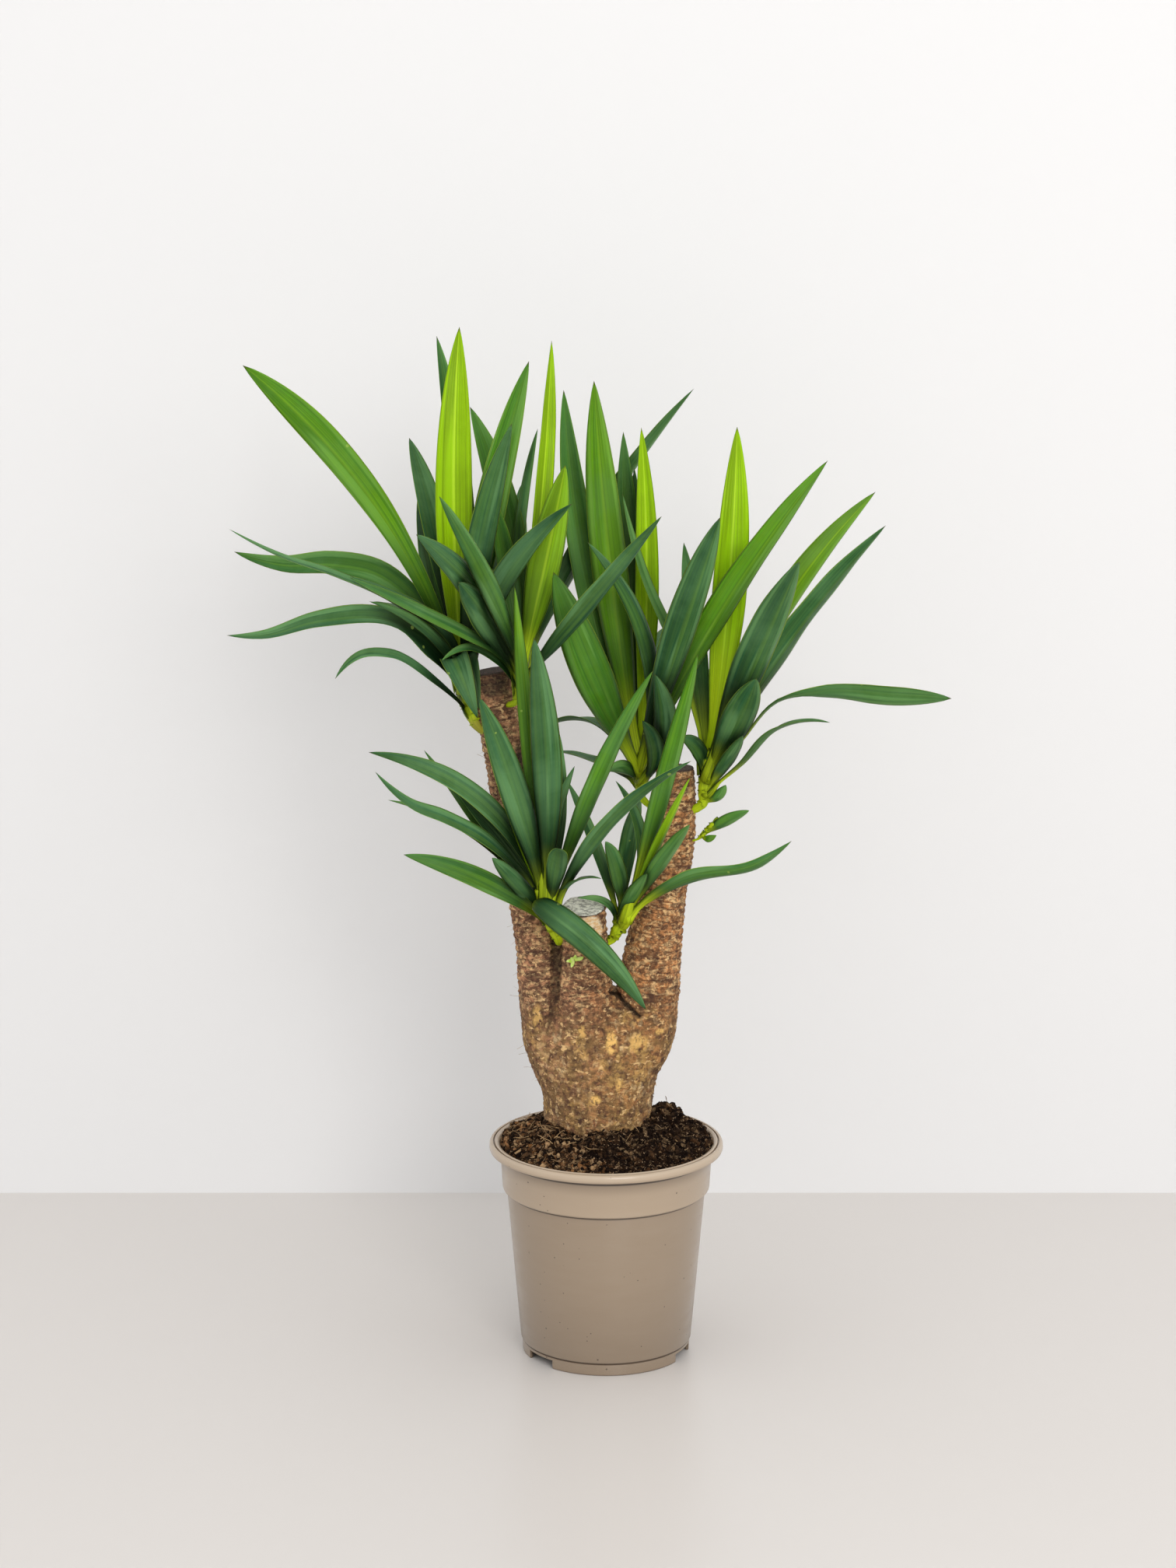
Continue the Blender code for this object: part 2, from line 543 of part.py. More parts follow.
def build_soil():
    """The plug of soil that fills the pot, with a plain hole for the foot of the trunk."""
    peat = make_material("soil_peat", SOIL_COLOUR, 0.95)
    rng = random.Random(SEED)
    waves = [
        (rng.uniform(0, math.pi), rng.uniform(110, 260), rng.uniform(0, 6.28), rng.uniform(0.0008, 0.0016))
        for _ in range(6)
    ]
    shape = bmesh.new()
    floor_top = FOOT_HEIGHT + WALL
    under_step = STEP_HEIGHT - STEP_SLOPE
    edge = SOIL_EDGE_HEIGHT - 0.004
    wall = (
        (pot_inner_radius(floor_top) - GAP, floor_top + GAP),
        (pot_inner_radius(under_step) - GAP, under_step + GAP),
        (pot_inner_radius(STEP_HEIGHT) - GAP, STEP_HEIGHT + 2 * GAP),
        (pot_inner_radius(edge) - GAP, edge),
    )
    rings = []
    for radius, height in wall:
        ring = []
        for i in range(POT_SIDES):
            angle = 2 * math.pi * i / POT_SIDES
            ring.append(shape.verts.new((radius * math.cos(angle), radius * math.sin(angle), height)))
        rings.append(ring)
    for share in (0.90, 0.78, 0.64, 0.50):
        radius = wall[-1][0] * share
        ring = []
        for i in range(POT_SIDES):
            angle = 2 * math.pi * i / POT_SIDES
            x = radius * math.cos(angle)
            y = radius * math.sin(angle)
            ring.append(shape.verts.new((x, y, soil_height(x, y, waves))))
        rings.append(ring)
    for lower, upper in zip(rings, rings[1:]):
        bridge(shape, lower, upper)
    shape.faces.new(rings[0])
    middle = shape.verts.new((0.0, 0.0, soil_height(0.0, 0.0, waves)))
    top = rings[-1]
    for i in range(POT_SIDES):
        shape.faces.new((top[i], top[(i + 1) % POT_SIDES], middle))
    soil = object_from_bmesh("soil", shape, peat)
    foot = list(BASE_SECTIONS[:4])
    cut(soil, swollen_base("trunk_hole", foot, grow=GAP * 1.5))
    return soil


def build_trunk():
    """The woody trunk as one piece: the swollen base, two branches and the centre stub."""
    bark = make_material("trunk_bark", BARK_COLOUR, 0.9)
    trunk = swollen_base("trunk", BASE_SECTIONS, bark)
    branches = []
    for name, stations, tilt in (
        ("left", LEFT_BRANCH, 0.0),
        ("stub", CENTRE_STUB, STUB_CUT_TILT),
        ("right", RIGHT_BRANCH, 0.0),
    ):
        length = np.linalg.norm(np.diff(np.array(stations)[:, :3], axis=0), axis=1).sum()
        count = max(4, round(length / BARK_RING))
        path = smooth_path(stations, count)
        branches.append(tube(name, path, BRANCH_SIDES, bark, BARK_RELIEF, 0.0, tilt))
    join_all(trunk, branches)
    for head in HEADS.values():
        cut(trunk, head_stem("socket", head, grow=GAP * 1.3, extend=True))
    return trunk


def head_stem(name, head, material=None, grow=0.0, extend=False):
    """The green stem of one head, from inside the trunk to its growing tip."""
    inside, bark, top = (Vector(point) * CM for point in head["stem"])
    radius = head["radius"] * CM
    if extend:
        start = inside - (bark - inside).normalized() * GAP
        stations = [(*start, radius + grow), (*bark, radius + grow)]
        stations.append((*(bark + (top - bark) * 0.35), radius * 0.95 + grow))
    else:
        stations = [(*inside, radius), (*bark, radius), (*(bark + (top - bark) * 0.35), radius * 0.95)]
        stations.append((*(bark + (top - bark) * 0.75), radius * 0.85))
        stations.append((*top, radius * 0.55))
    return tube(name, np.array(stations), STEM_SIDES, material)


def leaf_path(foot, points):
    """A function from 0..1 to the leaf's midline: one smooth curve from its foot to its tip."""
    knots = np.array([foot] + points)
    steps = np.linalg.norm(np.diff(knots, axis=0), axis=1)
    at = np.concatenate([[0.0], np.cumsum(steps)]) / steps.sum()
    slopes = np.gradient(knots, at, axis=0, edge_order=2)

    def place(t):
        return Vector(curve_point(knots, at, slopes, t))

    return place


def leaf_width(t):
    """The share of the full width at t: a narrow clasping foot, a broad middle, a pointed tip."""
    if t < LEAF_WIDEST:
        u = t / LEAF_WIDEST
        return LEAF_BASE_SHARE + (1.0 - LEAF_BASE_SHARE) * u * u * (3.0 - 2.0 * u)
    u = (t - LEAF_WIDEST) / (1.0 - LEAF_WIDEST)
    return (1.0 - u**2.2) ** 0.85


def leaf_blade(foot, points, width, turn_foot, turn_tip, inward):
    """One channelled strap leaf as a closed blade, with a rib and thin edges.

    Its cross-section starts broad to the front and is carried along the midline unrolled, with
    the given turn added.
    """
    place = leaf_path(foot, points)
    first = (place(0.01) - place(0.0)).normalized()
    broad = first.cross(Vector((0.0, 1.0, 0.0))).normalized()
    frames = []
    for t in LEAF_RINGS:
        ahead = (place(t + 0.01) - place(max(0.0, t - 0.01))).normalized()
        broad = (broad - ahead * broad.dot(ahead)).normalized()
        turn = math.radians(turn_foot + (turn_tip - turn_foot) * t)
        across = broad * math.cos(turn) + ahead.cross(broad) * math.sin(turn)
        frames.append((t, across, across.cross(ahead)))
    middle_face = frames[len(frames) // 2][2]
    side = 1.0 if middle_face.dot(inward) > 0.0 else -1.0
    shape = bmesh.new()
    rings = []
    for t, across, face in frames:
        face = face * side
        half = 0.5 * width * leaf_width(t)
        fold = LEAF_FOLD * 2.0 * half * min(1.0, t / LEAF_RINGS[1])
        rib = LEAF_RIB * (0.6 + 0.4 * leaf_width(t)) * (1.6 if t == 0.0 else 1.0)
        middle = place(t) - face * fold * 0.5
        edge = place(t) + face * fold * 0.5
        ring = [
            shape.verts.new(edge + across * half),
            shape.verts.new(middle + face * rib * 0.5),
            shape.verts.new(edge - across * half),
            shape.verts.new(middle - face * rib * 0.5),
        ]
        rings.append(ring)
    for lower, upper in zip(rings, rings[1:]):
        left, top, right, under = lower
        left_up, top_up, right_up, under_up = upper
        for middle, middle_up in ((top, top_up), (under, under_up)):
            shape.faces.new((left, middle, middle_up))
            shape.faces.new((left, middle_up, left_up))
            shape.faces.new((right, middle, middle_up))
            shape.faces.new((right, middle_up, right_up))
    tip = shape.verts.new(place(1.0))
    last = rings[-1]
    for i in range(4):
        shape.faces.new((last[i], last[(i + 1) % 4], tip))
    shape.faces.new(rings[0])
    return object_from_bmesh("blade", shape)


def seen_point(root, offset):
    """A leaf's point. Across and up are as the eye sees them at the root's distance, so a point
    further back lies further along the same line of sight."""
    across, back, up = offset
    flat_up = (up + math.tan(LOOK_DOWN) * back) * math.cos(LOOK_DOWN)
    sight = root - EYE + Vector((across, flat_up * math.sin(LOOK_DOWN), flat_up * math.cos(LOOK_DOWN)))
    return EYE + sight * (root.y - EYE.y + back) / sight.y


def rule_points(azimuth, lean, length):
    """Via point and tip, in centimetres, of a leaf that arches out the way the azimuth says."""
    out = Vector((math.cos(math.radians(azimuth)), math.sin(math.radians(azimuth)), 0.0))
    up = Vector((0.0, 0.0, 1.0))
    early = math.radians(lean * 0.7)
    late = math.radians(lean * 1.25)
    via = (out * math.sin(early) + up * math.cos(early)) * length * 0.5
    tip = via + (out * math.sin(late) + up * math.cos(late)) * length * 0.5
    return via, tip


def build_head(name, head, material):
    """One leafy head: its stem with every leaf fused to it."""
    stem = head_stem(name, head, material)
    root = Vector(head["root"])
    bark = Vector(head["stem"][1]) * CM
    top = Vector(head["stem"][2]) * CM
    blades = []
    for share, width, turn_foot, turn_tip, passed in head["leaves"]:
        foot = bark + (top - bark) * share * 0.96
        points = [seen_point(root, offset) * CM for offset in passed]
        heading = points[-1] - foot
        inward = Vector((-heading.x, -heading.y, 0.6 * Vector((heading.x, heading.y)).length + 0.01))
        blades.append(leaf_blade(foot, points, width * CM, turn_foot, turn_tip, inward))
    for azimuth, lean, length, width in head["behind"]:
        foot = bark + (top - bark) * (0.95 - lean / 140.0)
        via, tip = rule_points(azimuth, lean, length)
        points = [foot + via * CM, foot + tip * CM]
        heading = points[-1] - foot
        inward = Vector((-heading.x, -heading.y, heading.length))
        blades.append(leaf_blade(foot, points, width * CM, azimuth - 90.0, azimuth - 90.0, inward))
    join_all(stem, blades)
    return stem


def main():
    clear_scene()
    build_pot()
    build_soil()
    build_trunk()
    leaf = make_material("leaf_green", LEAF_COLOUR, 0.45)
    for name, head in HEADS.items():
        build_head(name, head, leaf)


main()
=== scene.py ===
"""A potted spineless yucca, dressed: strap leaves, fibrous bark, crumbly peat and a satin nursery pot.

Laid out as an add-on and run as a script. Lengths are in metres, +Z is up, the front faces -Y,
and the origin is the middle of the pot's underside.
"""

import math
import random

import bmesh
import bpy
import numpy as np
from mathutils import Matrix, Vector
from mathutils.bvhtree import BVHTree


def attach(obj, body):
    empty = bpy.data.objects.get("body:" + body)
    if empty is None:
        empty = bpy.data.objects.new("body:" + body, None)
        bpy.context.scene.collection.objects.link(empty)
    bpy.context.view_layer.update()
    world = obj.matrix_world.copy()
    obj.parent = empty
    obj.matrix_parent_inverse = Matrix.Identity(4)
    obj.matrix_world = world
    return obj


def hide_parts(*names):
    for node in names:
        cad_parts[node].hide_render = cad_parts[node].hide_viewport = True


bl_info = {
    "name": "Potted Yucca",
    "version": (1, 0, 0),
    "blender": (4, 5, 0),
    "location": "View3D > Sidebar > Yucca",
    "description": "Builds the leaves, bark, soil and pot of a potted spineless yucca",
    "category": "Add Mesh",
}

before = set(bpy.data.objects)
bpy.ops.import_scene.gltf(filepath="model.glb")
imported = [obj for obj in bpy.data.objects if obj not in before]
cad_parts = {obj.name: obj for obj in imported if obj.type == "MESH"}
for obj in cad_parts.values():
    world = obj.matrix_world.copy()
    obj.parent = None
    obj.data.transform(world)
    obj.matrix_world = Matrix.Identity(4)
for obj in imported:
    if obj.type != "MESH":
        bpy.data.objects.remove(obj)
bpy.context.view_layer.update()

CM = 0.01
MM = 0.001
BODY = "root"

# Pot
POT_SIDES = 160
POT_HEIGHT = 0.1965
RIM_RADIUS = 0.105
MOUTH_RADIUS = 0.0965
COLLAR_TOP_RADIUS = 0.0955
COLLAR_FOOT_RADIUS = 0.0932
STEP_HEIGHT = 0.153
BODY_TOP_RADIUS = 0.0893
BODY_FOOT_RADIUS = 0.0772
FOOT_RADIUS = 0.0756
FOOT_HEIGHT = 0.011
FOOT_WIDTH = 0.0032
POT_WALL = 0.0022
FIRST_NOTCH = -22.0  # degrees round the foot, the middle of one notch of three
DRAIN_CIRCLE = 0.050
DRAIN_RADIUS = 0.005
BOSS_RADIUS = 0.014
LIP_DEPTH = 0.0085
STEP_SLOPE = 0.003  # how much of the height the step takes inside the pot
LIP_GROOVE = 0.0042  # how far inside the rim the groove round the lip runs
# Heights of thin dark lines on the pot: painted shadow with some dirt under the lip, painted shade under the
# step, and grime in the foot's seam
LIP_SHADE_HEIGHT = 0.1853
LEDGE_SHADE_HEIGHT = 0.1514
SEAM_HEIGHT = 0.0114
# The two heights, or distances out, that a tone on the pot fades between: the lip's top with its painted
# highlight and groove shade, the collar's painted highlight, and painted shadow under the lip and beneath
# the pot
LIP_TOP_FADE = (0.1902, 0.1912)
COLLAR_HIGHLIGHT_FADE = (0.152, 0.1545)
LIP_SHADOW_FADES = ((0.172, 0.186), (0.1896, 0.1884))
UNDERSIDE_SHADE_FADES = ((0.0740, 0.0728), (0.0122, 0.0116))

# Soil
SOIL_SEED = 5
SOIL_SIDES = 144
SOIL_RINGS = 34
SOIL_BANK = 0.0016  # how much the peat rises towards the wall
SOIL_GAP = 0.0003
SOIL_TOP_RADIUS = 0.0940  # how far out the loose bits lie
TRUNK_FOOT = (-0.008, 0.008, 0.0465, 0.0435)  # x, y, half width and half depth where it leaves the soil
SOIL_EDGE_HEIGHT = 0.1915
SOIL_MOUND = 0.027
CLUMP_PLACE = Vector((0.060, 0.018))
CLUMP_HEIGHT = 0.017
CLUMP_SPREAD = 0.017
CLUMP_REACH = 0.020  # how far round it the clods lie thickest

# Trunk: (x, y, z, half width across, half depth) of the swollen base
BASE_SECTIONS = (
    (-0.006, 0.008, 0.135, 0.040, 0.038),
    (-0.007, 0.008, 0.170, 0.044, 0.042),
    (-0.008, 0.008, 0.211, 0.0473, 0.044),
    (-0.007, 0.008, 0.240, 0.0505, 0.046),
    (-0.009, 0.008, 0.269, 0.0595, 0.046),
    (-0.007, 0.008, 0.291, 0.0665, 0.0445),
    (-0.0065, 0.008, 0.311, 0.0660, 0.0395),
    (-0.006, 0.008, 0.324, 0.0560, 0.0310),
    (-0.006, 0.008, 0.332, 0.0330, 0.0190),
)

# Branches: (x, y, z, radius) along each, from inside the base to the sawn top
LEFT_BRANCH = (
    (-0.0250, 0.006, 0.255, 0.0300),
    (-0.0430, 0.004, 0.290, 0.0310),
    (-0.0520, 0.005, 0.325, 0.0258),
    (-0.0580, 0.007, 0.370, 0.0222),
    (-0.0675, 0.009, 0.427, 0.0206),
    (-0.0800, 0.011, 0.498, 0.0196),
    (-0.0910, 0.012, 0.560, 0.0190),
    (-0.1010, 0.012, 0.622, 0.0172),
)
CENTRE_STUB = (
    (-0.0130, 0.002, 0.250, 0.0340),
    (-0.0175, -0.004, 0.300, 0.0310),
    (-0.0205, -0.006, 0.340, 0.0265),
    (-0.0205, -0.009, 0.368, 0.0228),
    (-0.0198, -0.010, 0.4155, 0.0184),
)
RIGHT_BRANCH = (
    (0.0090, 0.006, 0.255, 0.0300),
    (0.0275, 0.005, 0.290, 0.0320),
    (0.0365, 0.006, 0.330, 0.0285),
    (0.0420, 0.008, 0.372, 0.0252),
    (0.0500, 0.010, 0.420, 0.0208),
    (0.0570, 0.010, 0.456, 0.0195),
    (0.0605, 0.010, 0.500, 0.0185),
    (0.0610, 0.010, 0.536, 0.0165),
)
BRANCHES = ((LEFT_BRANCH, 0.0), (CENTRE_STUB, math.radians(-14)), (RIGHT_BRANCH, 0.0))  # with the cut's tilt
BARK_VOXEL = 0.00141
RELIEF_UNIT = 0.0009  # the height that the stored relief counts as one
NEAR_BRANCH = 1.3  # how many radii from a branch's middle its bark may be
# The two heights, places across or places back that a mask on the bark fades between
BASE_FADE = (0.345, 0.310)
FRONT_FADE = (0.012, -0.004)
LOW_OCHRE_FADE = (0.335, 0.290)
FURROW_FADE = (0.285, 0.312)
HAIRY_FADE = (-0.050, -0.068)
CUT_FADE = (-0.0016, -0.0007)  # above the cut's plane
FLAKES_FROM = 0.205

# Pale and ochre places on the bark, seen from the front: (x, z, half width, half height, strength)
OCHRE_PATCHES = (
    (0.0045, 0.296, 0.0055, 0.0115, 1.0),
    (0.0280, 0.294, 0.0095, 0.0105, 0.75),
    (-0.0210, 0.306, 0.0055, 0.0060, 0.7),
    (0.0110, 0.256, 0.0022, 0.0080, 0.9),
    (-0.0100, 0.244, 0.0055, 0.0050, 1.0),
    (-0.0610, 0.315, 0.0050, 0.0120, 0.6),
    (0.0470, 0.303, 0.0040, 0.0030, 0.9),
    (-0.0040, 0.276, 0.0060, 0.0080, 0.4),
    (0.0300, 0.262, 0.0080, 0.0100, 0.35),
)
# Bare wood under the stub's rim, where the bark has come away
PEELED_PATCHES = ((-0.0150, 0.4040, 0.0100, 0.0062, 1.0), (-0.0070, 0.3960, 0.0040, 0.0070, 1.0))
# Painted shadow on the bark where leaves crowd over it: (x, z, half width, half height, strength)
LEAF_SHADOW_PLACES = (
    (-0.0985, 0.6110, 0.0170, 0.0110, 0.90),
    (-0.0735, 0.5450, 0.0065, 0.0220, 0.90),
    (0.0690, 0.5230, 0.0060, 0.0100, 0.60),
    (-0.0150, 0.3850, 0.0160, 0.0060, 0.35),
)
# The slit between the stub and the right branch: two ends (x, z), half width and depth
SLIT = ((0.0035, 0.338), (0.0290, 0.3175), 0.0013, 0.0045)

# The furrow between the left branch and the stub: points (x, z), half width and depth
FURROW = (
    (-0.0445, 0.392),
    (-0.0448, 0.362),
    (-0.0458, 0.340),
    (-0.0478, 0.322),
    (-0.0532, 0.304),
    (-0.0555, 0.290),
)
FURROW_WIDTH = 0.0062
FURROW_DEPTH = 0.0055

# Leaves
LEAF_ROWS = 34
SHEATH_ROWS = 10
SHEATH_FOLD = 1.3
LEAF_COLUMNS = 9
LEAF_BASE_SHARE = 0.30
LEAF_WIDEST = 0.52
LEAF_FOLD = 0.72  # half the angle that a blade's channel spans, in radians
LEAF_CLASP = 1.5  # the same where the foot clasps its stem
LEAF_KEEL = 0.55  # how much of a blade's bend is in its midrib
TWIST = (0.1, 0.75)  # the part of a leaf's length over which its blade turns
FOOT_PART = 0.14  # the part of a leaf's length that its thick foot takes
OPENING_PART = 0.3  # the part over which its channel opens
FOOT_SHARE = 0.5  # how much of the stem's length the leaves' feet share
SHEATHS = 6
SHEATH_START = 0.001
SHEATH_STEP = 0.0032
GOLDEN_TURN = 2.4
EDGE_THICKNESS = 0.0004
MIDDLE_THICKNESS = 0.0009  # what a blade's full width adds to that
BUD_HEART = Vector((-0.0285, -0.0300, 0.3712))
BUD_SCALES = 9
BUD_WIDTH = 0.0042
BUD_CLASP = 0.0010
CROWD_RAYS = 12
CROWD_REACH = 0.095  # how near another leaf has to be to darken one
FRAME_STEPS = (0.0, 0.12, 0.27, 0.42, 0.57, 0.72, 0.85, 0.94, 1.0)
STEM_SIDES = 24
STEM_ROWS = 26
AWAY = Vector((0.0, 1.0, 0.0))
UP = Vector((0.0, 0.0, 1.0))

# View
EYE = Vector((-1.6, -300.0, 116.9))  # where the leaves were measured from, in centimetres
CAMERA_PLACE = (-0.0163, -3.0, 1.169)
LOOK_DOWN = math.radians(12.16)  # below the level
SENSOR_WIDTH = 36.0  # in millimetres
PHOTO_WIDTH = 1512.0  # in pixels, as the focal length
FOCAL_PIXELS = 4488.0

# Stage: how far it reaches to each side and up, and what the lights aim at
ROOM_SIDE = 4.0
ROOM_HEIGHT = 4.5
LIGHT_AIM = (0.0, 0.0, 0.45)
TOP_LIGHT_AIM = (0.0, 0.25, 0.6)

